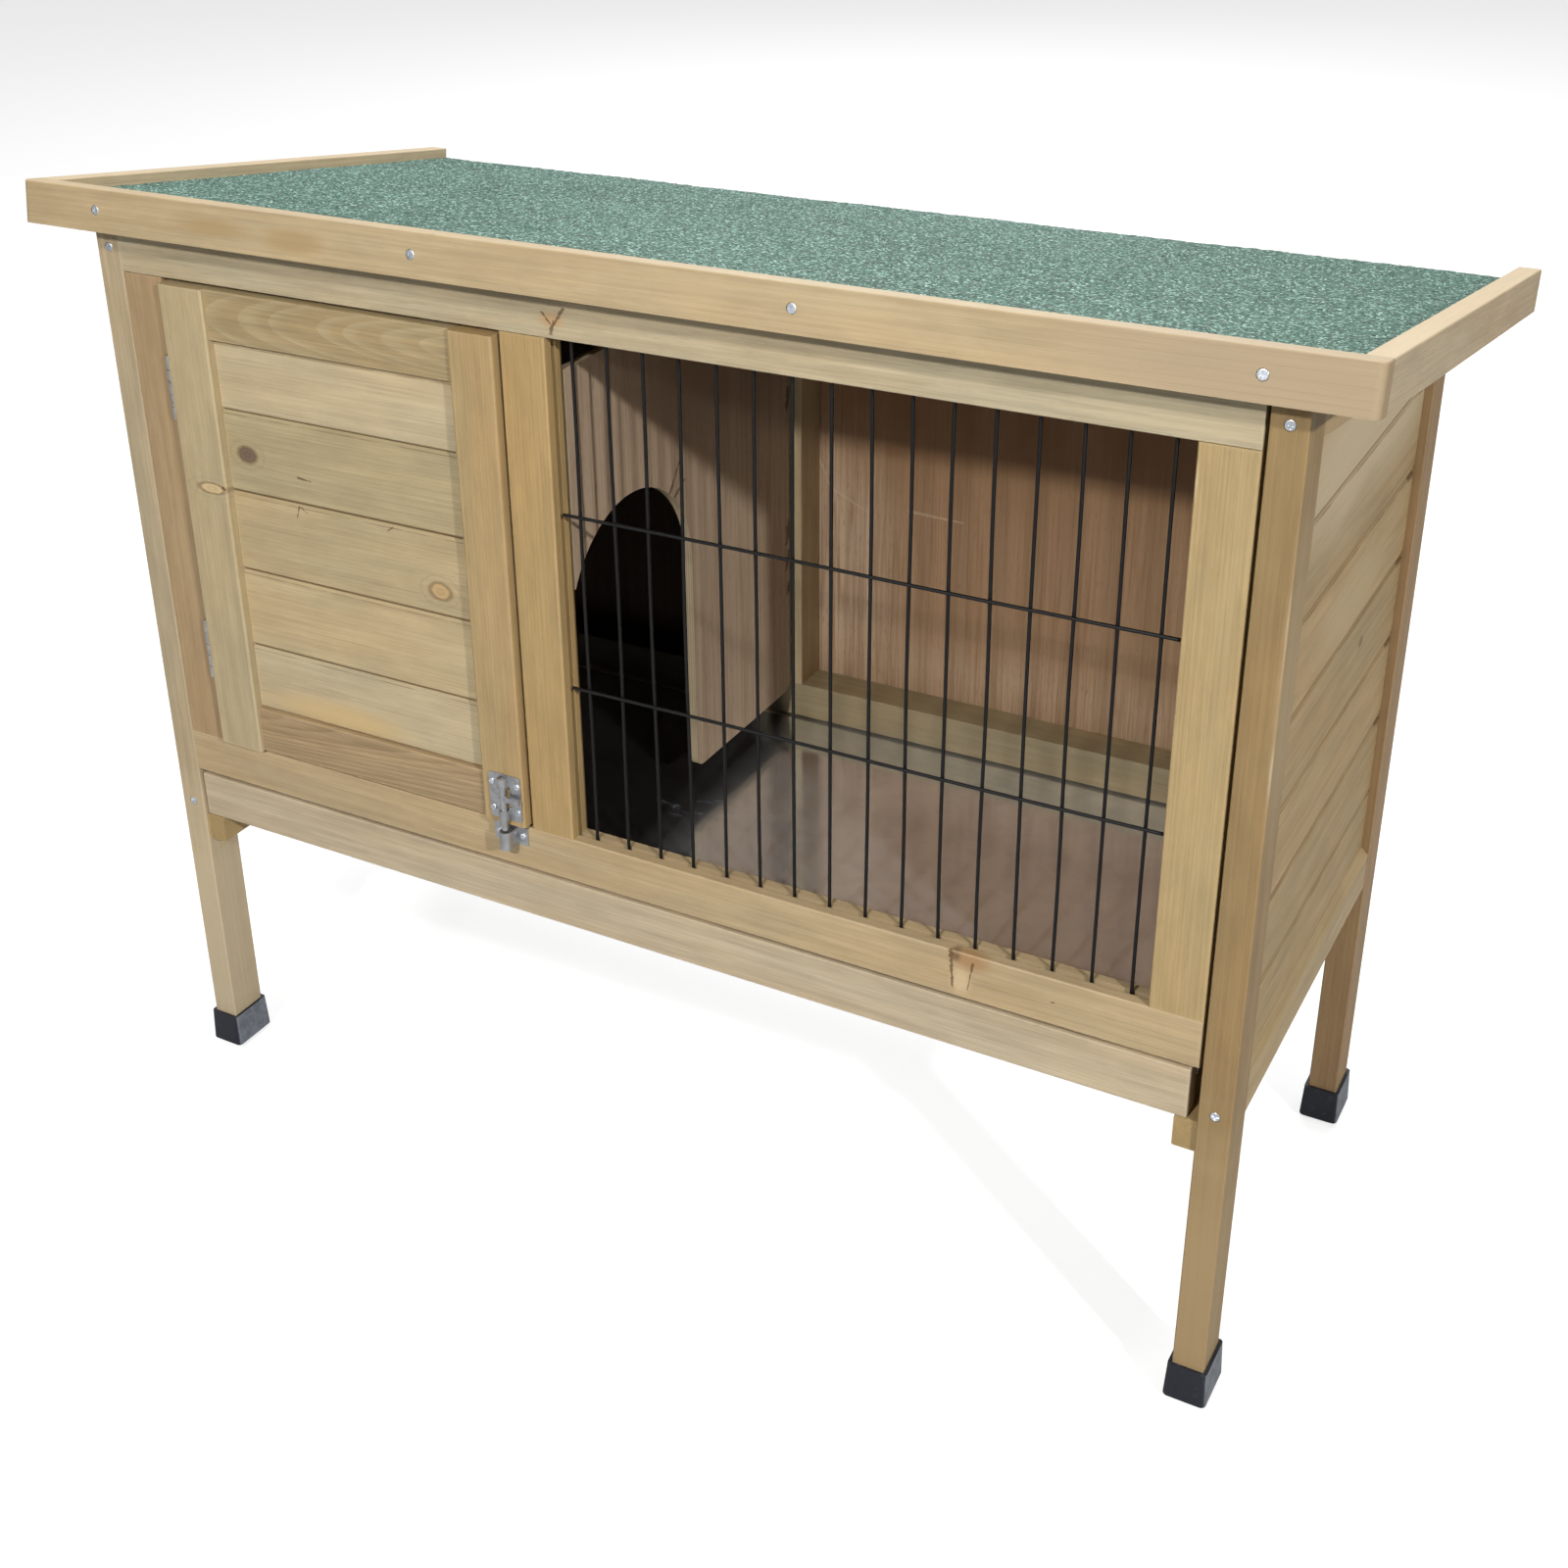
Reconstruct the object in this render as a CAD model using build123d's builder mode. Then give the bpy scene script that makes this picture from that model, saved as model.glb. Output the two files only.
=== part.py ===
"""Small outdoor rabbit hutch on four legs: nest box with a hinged door, wire-fronted run,
pull-out tray and a felted lean-to roof.

Millimetres. X runs along the hutch, Y from its front to its back and Z up from the ground.
The origin is on the ground, under the middle of the roof.
"""
from build123d import *
from math import ceil, cos, radians, sin, tan
import os

os.makedirs("parts", exist_ok=True)

# ---------------------------------------------------------------- driving dimensions
body_width = 832.0            # over the posts
body_depth = 354.0            # over the posts
roof_front_height = 714.4     # ground to the top front edge of the fascia
roof_pitch = 8.6              # degrees, falling to the back
front_overhang = 26.0         # fascia to the face of the front posts
back_overhang = 76.0          # back posts to the back of the felt
side_overhang = 38.0          # posts to the outer faces of the side trims

post_width = 21.0             # along X
post_depth = 31.5             # along Y
frame_thickness = 19.0        # front frame and door frame, along Y
stile_width = 33.5
top_rail_height = 34.0
bottom_rail_height = 33.5
frame_bottom_height = 262.5   # ground to the underside of the front bottom rail
frame_roof_gap = 0.5          # front frame to the roof board above it
frame_side_gap = 2.2          # front frame to the right post
door_opening_width = 279.2
nose = 1.2                    # eased long edges of planed sticks

fascia_height = 28.6
trim_thickness = 15.0
trim_nose = 5.0
roof_board_thickness = 12.0
felt_thickness = 2.5
felt_recess = 7.0             # top of the trims down to the felt
fascia_screw_count = 4
fascia_screw_inset = 62.5     # end screws from the ends of the fascia
fascia_screw_shift = 3.75     # the row of screws to the right of the middle

door_proud = 6.0              # door face in front of the frame face
door_hinge_gap = 2.0
door_latch_gap = 2.0
door_end_gap = 2.5            # above and below the door
door_nose = 1.8
door_hinge_stile_width = 38.5
door_latch_stile_width = 34.0
door_rail_height = 35.5
door_rail_recess = 3.0        # rail face behind the stile face
door_rail_thickness = 13.0
door_board_recess = 7.0       # board face behind the stile face
board_thickness = 9.0
board_pitch = 60.0            # cover width of one matchboard
door_first_cut = 9.0          # trimmed off the lowest door board
groove_chamfer = 2.6          # one side of the V groove between matchboards
board_gap = 0.3               # between neighbouring matchboards

side_board_recess = 6.0       # side boards behind the outer face of the posts
side_first_cut = 12.3         # trimmed off the lowest side board
side_rail_thickness = 17.0
side_rail_recess = 1.0
side_rail_height = 33.0
side_rail_drop = 47.8         # side rails' undersides below the front frame
side_rail_bevel = 6.0         # sloping top edge that sheds water
board_end_gap = 0.6           # board ends to the posts

back_panel_thickness = 5.0
back_panel_drop = 15.7        # back panel's foot below the side rails
back_panel_inset = 1.0        # panel edges inside the outer faces of the posts
back_rail_height = 29.0
back_rail_lift = 1.8          # back rail above the tray floor
back_top_rail_depth = 20.0
batten_width = 13.0
batten_step = 1.0             # batten past the nest side of the partition
partition_thickness = 6.0
partition_lift = 6.5          # partition's foot above the underside of the front frame
partition_roof_gap = 15.4     # partition to the roof board, at its back edge
partition_corner = 9.0
batten_drop = 3.0             # back batten below the top rail
partition_front_gap = 1.0     # partition to the front frame
partition_back_gap = 5.0      # partition to the batten behind it
doorway_radius = 79.0
doorway_top = 518.5
doorway_setback = 70.0        # front edge of the partition to the middle of the doorway

wire_diameter = 2.3
wire_pitch = 25.4
cross_wire_first = 114.5      # bottom rail to the lowest cross wire
cross_wire_pitch = 123.5
mesh_setback = 9.7            # frame face to the middle of the upright wires
groove_width = 4.4
groove_depth = 6.0
weld_sink = 0.3               # cross wires sunk into the uprights

cap_height = 30.6
cap_wall = 2.3
cap_clearance = 0.15
cap_floor = 3.0
cap_flare = 3.0               # degrees, wider towards the ground
cap_nub_height = 3.5
cap_nub_radius = 10.0

drawer_height = 36.0
drawer_top_gap = 5.0          # drawer front to the frame above it
drawer_thickness = 13.5
drawer_setback = 3.0
drawer_side_gap = 4.5         # mean gap at each end
drawer_shift = -3.0           # the tray sits towards the left end of its slot
tray_floor_drop = 22.0        # tray floor below the front frame
tray_sheet = 0.8
tray_lip = 15.0
tray_lip_gap = 1.3            # tray lips and slides to the back rail
tray_side_gap = 6.0
tray_back_overlap = 10.0      # tray floor reaches this far under the back rail
runner_width = 15.0
runner_height = 22.0
runner_setback = 3.0
slide_clearance = 0.3

hinge_inset = 75.0            # middle of a hinge from the end of the door
hinge_length = 45.0
knuckle_count = 5
knuckle_gap = 0.4
barrel_radius = 2.2
hinge_pin_radius = 1.0
pin_clearance = 0.05
leaf_thickness = 0.8
leaf_depth = 13.0
leaf_screw_depth = 7.0        # frame face to the hinge screws
door_leaf_set = 0.5           # door leaf starts in front of the frame face
pin_head_height = 1.0
barrel_clearance = 0.3

latch_shift = 2.8             # latch to the right of the middle of its stile
latch_plate_lift = 4.5        # door's bottom edge to the plate
latch_plate_height = 35.0
latch_plate_width = 26.0
latch_sheet = 1.0
latch_window_width = 8.0      # cut in the plate behind the bolt
bolt_radius = 2.4
bolt_rest_gap = 0.8           # drawn bolt above the keeper
bolt_length = 40.0
bolt_clearance = 0.35
guide_height = 7.5
knob_lift = 16.0              # plate's bottom edge to the lever
knob_reach = 14.0
knob_width = 4.0
knob_thickness = 2.0
latch_screw_spacing = 20.5
keeper_drop = 1.2             # keeper below the top of the bottom rail
keeper_height = 13.8
keeper_width = 28.0
keeper_shift = -1.5
keeper_clearance = 1.1        # bolt in the keeper
keeper_screw_reach = 9.5      # keeper screws to each side of its middle

screw_head_radius = 3.3
screw_head_height = 1.4
screw_radius = 1.6
screw_clearance = 0.05
screw_sink = 1.5              # heads pulled just below the wood
screw_bite = 22.0             # thread in the second piece of wood
drill_margin = 1.0            # holes drilled past the screw or the piece
small_head_radius = 2.3
small_head_height = 1.1
small_screw_radius = 1.2
small_screw_length = 11.0

# ---------------------------------------------------------------- derived places
roof_width = body_width + 2 * side_overhang
roof_depth = front_overhang + body_depth + back_overhang
half_body = body_width / 2
half_roof = roof_width / 2
pitch_sin = sin(radians(roof_pitch))
pitch_cos = cos(radians(roof_pitch))
y_face = -roof_depth / 2 + front_overhang
y_back = y_face + body_depth
y_post_front = y_face + post_depth
y_post_back = y_back - post_depth
y_frame_back = y_face + frame_thickness
x_post = half_body - post_width

roof_origin_y = -roof_depth / 2 + fascia_height * pitch_sin
roof_plane = Plane(
    origin=(0, roof_origin_y, roof_front_height),
    x_dir=(1, 0, 0),
    z_dir=(0, pitch_sin, pitch_cos),
)
roof_length = (roof_depth / 2 - roof_origin_y) / pitch_cos
board_top_drop = felt_recess + felt_thickness
board_under_drop = board_top_drop + roof_board_thickness


def roof_underside(y, below=0.0):
    """Height of the underside of the roof board at depth y, less a drop square to the roof."""
    return roof_front_height - (y - roof_origin_y) * tan(radians(roof_pitch)) - (
        board_under_drop + below
    ) / pitch_cos


frame_top_height = roof_underside(y_frame_back) - frame_roof_gap
stile_bottom = frame_bottom_height + bottom_rail_height
stile_top = frame_top_height - top_rail_height
x_frame_left = -x_post
x_frame_right = x_post - frame_side_gap
x_door_opening = x_frame_left + stile_width
x_mid_stile = x_door_opening + door_opening_width
x_run_left = x_mid_stile + stile_width
x_run_right = x_frame_right - stile_width

x_door_left = x_door_opening + door_hinge_gap
x_door_right = x_mid_stile - door_latch_gap
y_door = y_face - door_proud
door_bottom = stile_bottom + door_end_gap
door_top = stile_top - door_end_gap
hinge_heights = (door_bottom + hinge_inset, door_top - hinge_inset)

x_side_outer = half_body - side_rail_recess
x_side_inner = x_side_outer - side_rail_thickness
side_rail_bottom = frame_bottom_height - side_rail_drop
side_rail_top = side_rail_bottom + side_rail_height
x_boards_outer = half_body - side_board_recess
screw_x = half_body - post_width / 2
post_screw_low = side_rail_bottom + side_rail_height / 2
y_mesh = y_face + mesh_setback


def post_screw_heights(y_end):
    """Heights of the lower and upper screw of a post, at the rail end y_end."""
    return post_screw_low, roof_underside(y_end) - side_rail_height / 2 / pitch_cos


def save(piece, label):
    """Name a finished piece and write its file."""
    piece.part.label = label
    export_step(piece.part, "parts/" + label + ".step")


def facing(point, outward):
    """Place whose Z points outward from a surface, for a screw or its hole."""
    return Plane(origin=point, z_dir=outward).location


def box_between(x, y, z, mode=Mode.ADD):
    """Box between two corners."""
    with Locations(((x[0] + x[1]) / 2, (y[0] + y[1]) / 2, (z[0] + z[1]) / 2)):
        Box(x[1] - x[0], y[1] - y[0], z[1] - z[0], mode=mode)


def stick(x, y, z, along, ease=nose):
    """Planed stick between two corners, with the four edges that run along it eased."""
    with BuildPart() as piece:
        box_between(x, y, z)
        fillet(piece.edges().filter_by(along), ease)
    return piece


def drilled(piece, places, radius, depth, sink_radius=0.0, sink=0.0):
    """The piece with a hole at each place, counterbored when a sink depth is given."""
    with BuildPart() as result:
        add(piece.part)
        for place in places:
            with Locations(place):
                if sink > 0:
                    CounterBoreHole(radius, sink_radius, sink, depth)
                else:
                    Hole(radius, depth)
    return result


def grooved(piece, x, z):
    """The piece with the groove that the wire panel stands in."""
    with BuildPart() as result:
        add(piece.part)
        box_between(x, (y_mesh - groove_width / 2, y_mesh + groove_width / 2), z, Mode.SUBTRACT)
    return result


def screws(places, length, radius, head_radius, head_height, sink=0.0):
    """Pan-head cross-recess screws, one at each place, with their heads outward."""
    recess_length = head_radius * 1.3
    recess_width = head_radius * 0.32
    recess_depth = head_height * 0.55
    with BuildPart() as screw:
        Cylinder(radius, length, align=(Align.CENTER, Align.CENTER, Align.MAX))
        Cylinder(head_radius, head_height, align=(Align.CENTER, Align.CENTER, Align.MIN))
        fillet(screw.faces().sort_by(Axis.Z)[-1].edges(), head_height * 0.6)
        with Locations((0, 0, head_height)):
            for turn in (0, 90):
                Box(recess_length, recess_width, 2 * recess_depth, rotation=(0, 0, turn), mode=Mode.SUBTRACT)
    with BuildPart() as group:
        for place in places:
            with Locations(place * Location((0, 0, -sink))):
                add(screw.part)
    return group


# ---------------------------------------------------------------- posts and their screws
wood_hole = screw_radius + screw_clearance
head_hole = screw_head_radius + screw_clearance
post_screw_places = []


def wood_screws(places, length):
    """Screws with their heads pulled just below the wood."""
    return screws(places, length, screw_radius, screw_head_radius, screw_head_height, screw_sink)


def post(side, y_outer, y_inner):
    """Leg and corner post in one length, its top cut to the roof, drilled through for two screws."""
    foot = cap_nub_height + cap_floor
    inward = 1 if y_inner > y_outer else -1
    places = []
    for height in post_screw_heights(y_inner):
        places.append(facing((side * screw_x, y_outer, height), (0, -inward, 0)))
    post_screw_places.extend(places)
    with BuildPart() as piece:
        box_between(
            (side * screw_x - post_width / 2, side * screw_x + post_width / 2),
            (min(y_outer, y_inner), max(y_outer, y_inner)),
            (foot, roof_front_height),
        )
        fillet(piece.edges().filter_by(Axis.Z), nose)
        split(bisect_by=roof_plane.offset(-board_under_drop), keep=Keep.BOTTOM)
    return drilled(piece, places, wood_hole, post_depth + drill_margin, head_hole, screw_sink)


for side, side_name in ((-1, "left"), (1, "right")):
    save(post(side, y_face, y_post_front), "front_" + side_name + "_post")
    save(post(side, y_back, y_post_back), "back_" + side_name + "_post")

post_screw_length = post_depth - screw_sink + screw_bite
save(wood_screws(post_screw_places, post_screw_length), "post_screws")


# ---------------------------------------------------------------- foot caps
def foot_cap(side, y_middle):
    """Moulded push-on cap with a round nub under it."""
    inner_x = post_width + 2 * cap_clearance
    inner_y = post_depth + 2 * cap_clearance
    place = (side * screw_x, y_middle)
    with BuildPart() as piece:
        with BuildSketch(Plane.XY.offset(cap_height)):
            with Locations(place):
                RectangleRounded(inner_x + 2 * cap_wall, inner_y + 2 * cap_wall, cap_wall)
        extrude(amount=-(cap_height - cap_nub_height), taper=-cap_flare)
        fillet(piece.faces().sort_by(Axis.Z)[0].edges(), cap_wall / 2)
        with BuildSketch(Plane.XY.offset(cap_nub_height + cap_floor)):
            with Locations(place):
                Rectangle(inner_x, inner_y)
        extrude(amount=cap_height, mode=Mode.SUBTRACT)
        with BuildSketch():
            with Locations(place):
                Circle(cap_nub_radius)
        extrude(amount=cap_nub_height)
    return piece


for side, side_name in ((-1, "left"), (1, "right")):
    save(foot_cap(side, y_face + post_depth / 2), "front_" + side_name + "_foot_cap")
    save(foot_cap(side, y_back - post_depth / 2), "back_" + side_name + "_foot_cap")


# ---------------------------------------------------------------- front frame
y_frame = (y_face, y_frame_back)
z_stile = (stile_bottom, stile_top)
x_rails = (x_frame_left, x_frame_right)
run_span = (x_run_left - groove_depth, x_run_right + groove_depth)
small_hole = small_screw_radius + screw_clearance
latch_x = x_door_right - door_latch_stile_width / 2 + latch_shift
keeper_x = latch_x + keeper_shift
keeper_bottom = stile_bottom - keeper_drop - keeper_height
keeper_screw_places = []
for keeper_side in (-1, 1):
    keeper_screw_places.append(
        facing(
            (keeper_x + keeper_side * keeper_screw_reach, y_face, keeper_bottom + keeper_height / 2),
            (0, -1, 0),
        )
    )
hinge_screw_offsets = (-hinge_length / 4, hinge_length / 4)
y_leaf_screw = y_face + leaf_screw_depth
frame_hinge_places = []
door_hinge_places = []
for middle in hinge_heights:
    for offset_z in hinge_screw_offsets:
        frame_hinge_places.append(facing((x_door_opening, y_leaf_screw, middle + offset_z), (1, 0, 0)))
        door_hinge_places.append(facing((x_door_left, y_leaf_screw, middle + offset_z), (-1, 0, 0)))

bottom_rail = stick(x_rails, y_frame, (frame_bottom_height, stile_bottom), Axis.X)
bottom_rail = grooved(bottom_rail, run_span, (stile_bottom - groove_depth, stile_bottom + nose))
save(drilled(bottom_rail, keeper_screw_places, small_hole, small_screw_length), "front_bottom_rail")
top_rail = stick(x_rails, y_frame, (stile_top, frame_top_height), Axis.X)
save(grooved(top_rail, run_span, (stile_top - nose, stile_top + groove_depth)), "front_top_rail")
left_stile = stick((x_frame_left, x_door_opening), y_frame, z_stile, Axis.Z)
save(drilled(left_stile, frame_hinge_places, small_hole, small_screw_length), "front_left_stile")
mid_stile = stick((x_mid_stile, x_run_left), y_frame, z_stile, Axis.Z)
save(grooved(mid_stile, (x_run_left - groove_depth, x_run_left + nose), z_stile), "front_mid_stile")
right_stile = stick((x_run_right, x_frame_right), y_frame, z_stile, Axis.Z)
save(grooved(right_stile, (x_run_right - nose, x_run_right + groove_depth), z_stile), "front_right_stile")


# ---------------------------------------------------------------- wire panel
def wire_panel():
    """Welded wire panel: upright wires with two cross wires welded in front of them."""
    x_middle = (x_run_left + x_run_right) / 2
    y_cross = y_mesh - wire_diameter + weld_sink
    reach = groove_depth - 1.0
    cross_length = x_run_right - x_run_left - 2 * wire_diameter
    upright_count = int((x_run_right - x_run_left) / wire_pitch)
    cross_count = 1 + int((stile_top - stile_bottom - cross_wire_first) / cross_wire_pitch)
    with BuildPart() as piece:
        with BuildSketch(Plane.XY.offset(stile_bottom - reach)):
            with Locations((x_middle, y_mesh)):
                with GridLocations(wire_pitch, 1, upright_count, 1):
                    Circle(wire_diameter / 2)
        extrude(amount=stile_top - stile_bottom + 2 * reach)
        with BuildSketch(Plane.YZ.offset(x_middle - cross_length / 2)):
            for row in range(cross_count):
                with Locations((y_cross, stile_bottom + cross_wire_first + row * cross_wire_pitch)):
                    Circle(wire_diameter / 2)
        extrude(amount=cross_length)
    return piece


save(wire_panel(), "wire_panel")


# ---------------------------------------------------------------- sides
def matchboard(x, y, z, face_axis, outward, cut_plane=None):
    """Board whose outer face has chamfered long edges, so that two boards meet in a V groove."""
    with BuildPart() as piece:
        box_between(x, y, z)
        face = piece.faces().sort_by(face_axis)[-1 if outward > 0 else 0]
        along = Axis.Y if face_axis == Axis.X else Axis.X
        long_edges = face.edges().filter_by(along).sort_by(Axis.Z)
        chamfer(long_edges[-1], groove_chamfer)
        chamfer(long_edges[0], nose)
        if cut_plane is not None:
            split(bisect_by=cut_plane, keep=Keep.BOTTOM)
    return piece


def side_boards(side):
    """Horizontal matchboards between the posts, the top ones cut to the slope."""
    y_span = (y_post_front + board_end_gap, y_post_back - board_end_gap)
    x_pair = (side * x_boards_outer, side * (x_boards_outer - board_thickness))
    x_span = (min(x_pair), max(x_pair))
    under_rail = roof_plane.offset(-(board_under_drop + side_rail_height))
    lowest_slope = roof_underside(y_span[1], side_rail_height)
    start = side_rail_top - side_first_cut
    count = ceil((roof_underside(y_span[0], side_rail_height) - start) / board_pitch)
    boards = []
    for row in range(count):
        low = max(start + row * board_pitch, side_rail_top)
        high = start + (row + 1) * board_pitch
        plane = under_rail if high > lowest_slope else None
        boards.append(matchboard(x_span, y_span, (low, high - board_gap), Axis.X, side, plane))
    with BuildPart() as piece:
        for board in boards:
            add(board.part)
    return piece


def side_rail(side, is_top):
    """Rail between the two posts of one side, its exposed outer edge rounded, drilled at both ends."""
    front, back = y_post_front, y_post_back
    if is_top:
        lower = (roof_underside(front, side_rail_height), roof_underside(back, side_rail_height))
        upper = (roof_underside(front), roof_underside(back))
    else:
        lower = (side_rail_bottom, side_rail_bottom)
        upper = (side_rail_top, side_rail_top)
    with BuildPart() as piece:
        with BuildSketch(Plane.YZ.offset(side * x_side_inner)):
            with BuildLine():
                Polyline((front, lower[0]), (back, lower[1]), (back, upper[1]), (front, upper[0]), close=True)
            make_face()
        extrude(amount=side * side_rail_thickness)
        outer = piece.faces().sort_by(Axis.X)[-1 if side > 0 else 0]
        long_edges = outer.edges().sort_by(SortBy.LENGTH)[-2:].sort_by(Axis.Z)
        if is_top:
            fillet(long_edges[0], 2 * nose)
        else:
            chamfer(long_edges[-1], side_rail_bevel)
    places = []
    for y_end, outward in ((front, -1), (back, 1)):
        height = post_screw_heights(y_end)[1 if is_top else 0]
        places.append(facing((side * screw_x, y_end, height), (0, outward, 0)))
    return drilled(piece, places, wood_hole, screw_bite + drill_margin)


for side, side_name in ((-1, "left"), (1, "right")):
    save(side_boards(side), side_name + "_side_boards")
    save(side_rail(side, False), side_name + "_bottom_rail")
    save(side_rail(side, True), side_name + "_top_rail")


# ---------------------------------------------------------------- back
def under_roof(x, y, z_low, drop=0.0):
    """Upright block under the sloping roof board, between two places along X and Y."""
    with BuildPart() as piece:
        box_between(x, y, (z_low, roof_front_height))
        split(bisect_by=roof_plane.offset(-(board_under_drop + drop)), keep=Keep.BOTTOM)
    return piece


tray_floor_height = frame_bottom_height - tray_floor_drop
back_rail_bottom = tray_floor_height + tray_sheet + back_rail_lift
back_rail_top = back_rail_bottom + back_rail_height
x_back = (-x_post, x_post)
y_back_rail = (y_post_back, y_back)
save(stick(x_back, y_back_rail, (back_rail_bottom, back_rail_top), Axis.X), "back_bottom_rail")
back_top_rail_low = roof_underside(y_back) - side_rail_height
save(under_roof(x_back, (y_back - back_top_rail_depth, y_back), back_top_rail_low), "back_top_rail")
back_panel_bottom = side_rail_bottom - back_panel_drop
x_panel = (-half_body + back_panel_inset, half_body - back_panel_inset)
save(under_roof(x_panel, (y_back, y_back + back_panel_thickness), back_panel_bottom), "back_panel")


# ---------------------------------------------------------------- nest wall
x_partition = (x_run_left - partition_thickness, x_run_left)
x_batten = (x_partition[0] + batten_step, x_partition[0] + batten_step + batten_width)
y_partition = (y_frame_back + partition_front_gap, y_post_back - partition_back_gap)
partition_bottom = frame_bottom_height + partition_lift
partition_top = roof_underside(y_partition[1]) - partition_roof_gap
doorway_middle = y_partition[0] + doorway_setback
spring_line = doorway_top - doorway_radius


def partition():
    """Plywood wall between nest and run; its round-topped doorway is open at the foot and at the front."""
    with BuildPart() as piece:
        box_between(x_partition, y_partition, (partition_bottom, partition_top))
        with BuildSketch(Plane.YZ.offset(x_partition[0])):
            with Locations((doorway_middle, spring_line)):
                Circle(doorway_radius)
            with Locations((doorway_middle, (spring_line + partition_bottom) / 2)):
                Rectangle(2 * doorway_radius, spring_line - partition_bottom)
        extrude(amount=partition_thickness, mode=Mode.SUBTRACT)
        foot_edges = piece.edges().filter_by(Axis.X).group_by(Axis.Z)[0]
        fillet(foot_edges, partition_corner)
    return piece


save(partition(), "partition")
z_batten = (back_rail_top, roof_underside(y_back, side_rail_height) - batten_drop)
save(stick(x_batten, (y_post_back, y_back), z_batten, Axis.Z), "back_batten")


# ---------------------------------------------------------------- roof
fascia_screw_places = []
fascia_screw_pitch = (roof_width - 2 * fascia_screw_inset) / (fascia_screw_count - 1)
for index in range(fascia_screw_count):
    screw_place = fascia_screw_shift - half_roof + fascia_screw_inset + index * fascia_screw_pitch
    on_fascia = roof_plane.location * Location((screw_place, 0, -fascia_height / 2))
    fascia_screw_places.append(on_fascia * Location((0, 0, 0), (90, 0, 0)))


def fascia():
    """Front batten of the roof, with rounded ends and top, counterbored for its screws."""
    with BuildPart() as flat:
        box_between((-half_roof, half_roof), (0, trim_thickness), (-fascia_height, 0))
        ends = flat.edges().filter_by(Axis.Z).group_by(Axis.Y)[0]
        fillet(ends, trim_nose)
        fillet(flat.faces().sort_by(Axis.Z)[-1].edges().group_by(Axis.Y)[0], nose)
    with BuildPart() as piece:
        add(flat.part.moved(roof_plane.location))
    depth = trim_thickness + drill_margin
    return drilled(piece, fascia_screw_places, wood_hole, depth, head_hole, screw_sink)


def side_trim(side):
    """Side batten of the roof, butted against the back of the fascia."""
    x_pair = (side * half_roof, side * (half_roof - trim_thickness))
    with BuildPart() as flat:
        box_between((min(x_pair), max(x_pair)), (trim_thickness, roof_length), (-fascia_height, 0))
        fillet(flat.edges().filter_by(Axis.Y), nose)
    with BuildPart() as piece:
        add(flat.part.moved(roof_plane.location))
    return piece


x_roof_board = (-half_roof + trim_thickness, half_roof - trim_thickness)


def roof_board():
    """Plywood deck of the roof, drilled in its front edge for the fascia screws."""
    y_deck = (trim_thickness, roof_length - felt_thickness)
    with BuildPart() as flat:
        box_between(x_roof_board, y_deck, (-board_under_drop, -board_top_drop))
    with BuildPart() as piece:
        add(flat.part.moved(roof_plane.location))
    places = []
    for place in fascia_screw_places:
        places.append(place * Location((0, 0, -trim_thickness)))
    return drilled(piece, places, wood_hole, screw_bite + drill_margin)


def roof_felt():
    """Mineral felt laid on the deck between the trims and turned down over its back edge."""
    y_turndown = (roof_length - felt_thickness, roof_length)
    with BuildPart() as flat:
        box_between(x_roof_board, (trim_thickness, roof_length), (-board_top_drop, -felt_recess))
        box_between(x_roof_board, y_turndown, (-board_under_drop, -felt_recess))
    with BuildPart() as piece:
        add(flat.part.moved(roof_plane.location))
    return piece


save(fascia(), "roof_fascia")
save(side_trim(-1), "roof_left_trim")
save(side_trim(1), "roof_right_trim")
save(roof_board(), "roof_board")
save(roof_felt(), "roof_felt")
fascia_screw_length = trim_thickness - screw_sink + screw_bite
save(wood_screws(fascia_screw_places, fascia_screw_length), "fascia_screws")

# ---------------------------------------------------------------- door
y_door_back = y_door + frame_thickness
z_door = (door_bottom, door_top)
x_door_boards = (x_door_left + door_hinge_stile_width, x_door_right - door_latch_stile_width)
latch_plate_bottom = door_bottom + latch_plate_lift
latch_screw_places = []
for plate_x in (-latch_screw_spacing / 2, latch_screw_spacing / 2):
    for plate_z in (-latch_screw_spacing / 2, latch_screw_spacing / 2):
        height = latch_plate_bottom + latch_plate_height / 2 + plate_z
        latch_screw_places.append(facing((latch_x + plate_x, y_door, height), (0, -1, 0)))

hinge_stile = stick((x_door_left, x_door_boards[0]), (y_door, y_door_back), z_door, Axis.Z, door_nose)
save(drilled(hinge_stile, door_hinge_places, small_hole, small_screw_length), "door_hinge_stile")
latch_stile = stick((x_door_boards[1], x_door_right), (y_door, y_door_back), z_door, Axis.Z, door_nose)
save(drilled(latch_stile, latch_screw_places, small_hole, small_screw_length), "door_latch_stile")
y_door_rail = (y_door + door_rail_recess, y_door + door_rail_recess + door_rail_thickness)
z_door_rails = ((door_top - door_rail_height, door_top), (door_bottom, door_bottom + door_rail_height))
save(stick(x_door_boards, y_door_rail, z_door_rails[0], Axis.X), "door_top_rail")
save(stick(x_door_boards, y_door_rail, z_door_rails[1], Axis.X), "door_bottom_rail")

y_door_board = (y_door + door_board_recess, y_door + door_board_recess + board_thickness)
door_board_start = z_door_rails[1][1] - door_first_cut
door_board_count = ceil((z_door_rails[0][0] - door_board_start) / board_pitch)
for row in range(door_board_count):
    low = max(door_board_start + row * board_pitch, z_door_rails[1][1])
    high = min(door_board_start + (row + 1) * board_pitch - board_gap, z_door_rails[0][0])
    door_board = matchboard(x_door_boards, y_door_board, (low, high), Axis.Y, -1)
    save(door_board, "door_board_" + str(row + 1))


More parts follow.
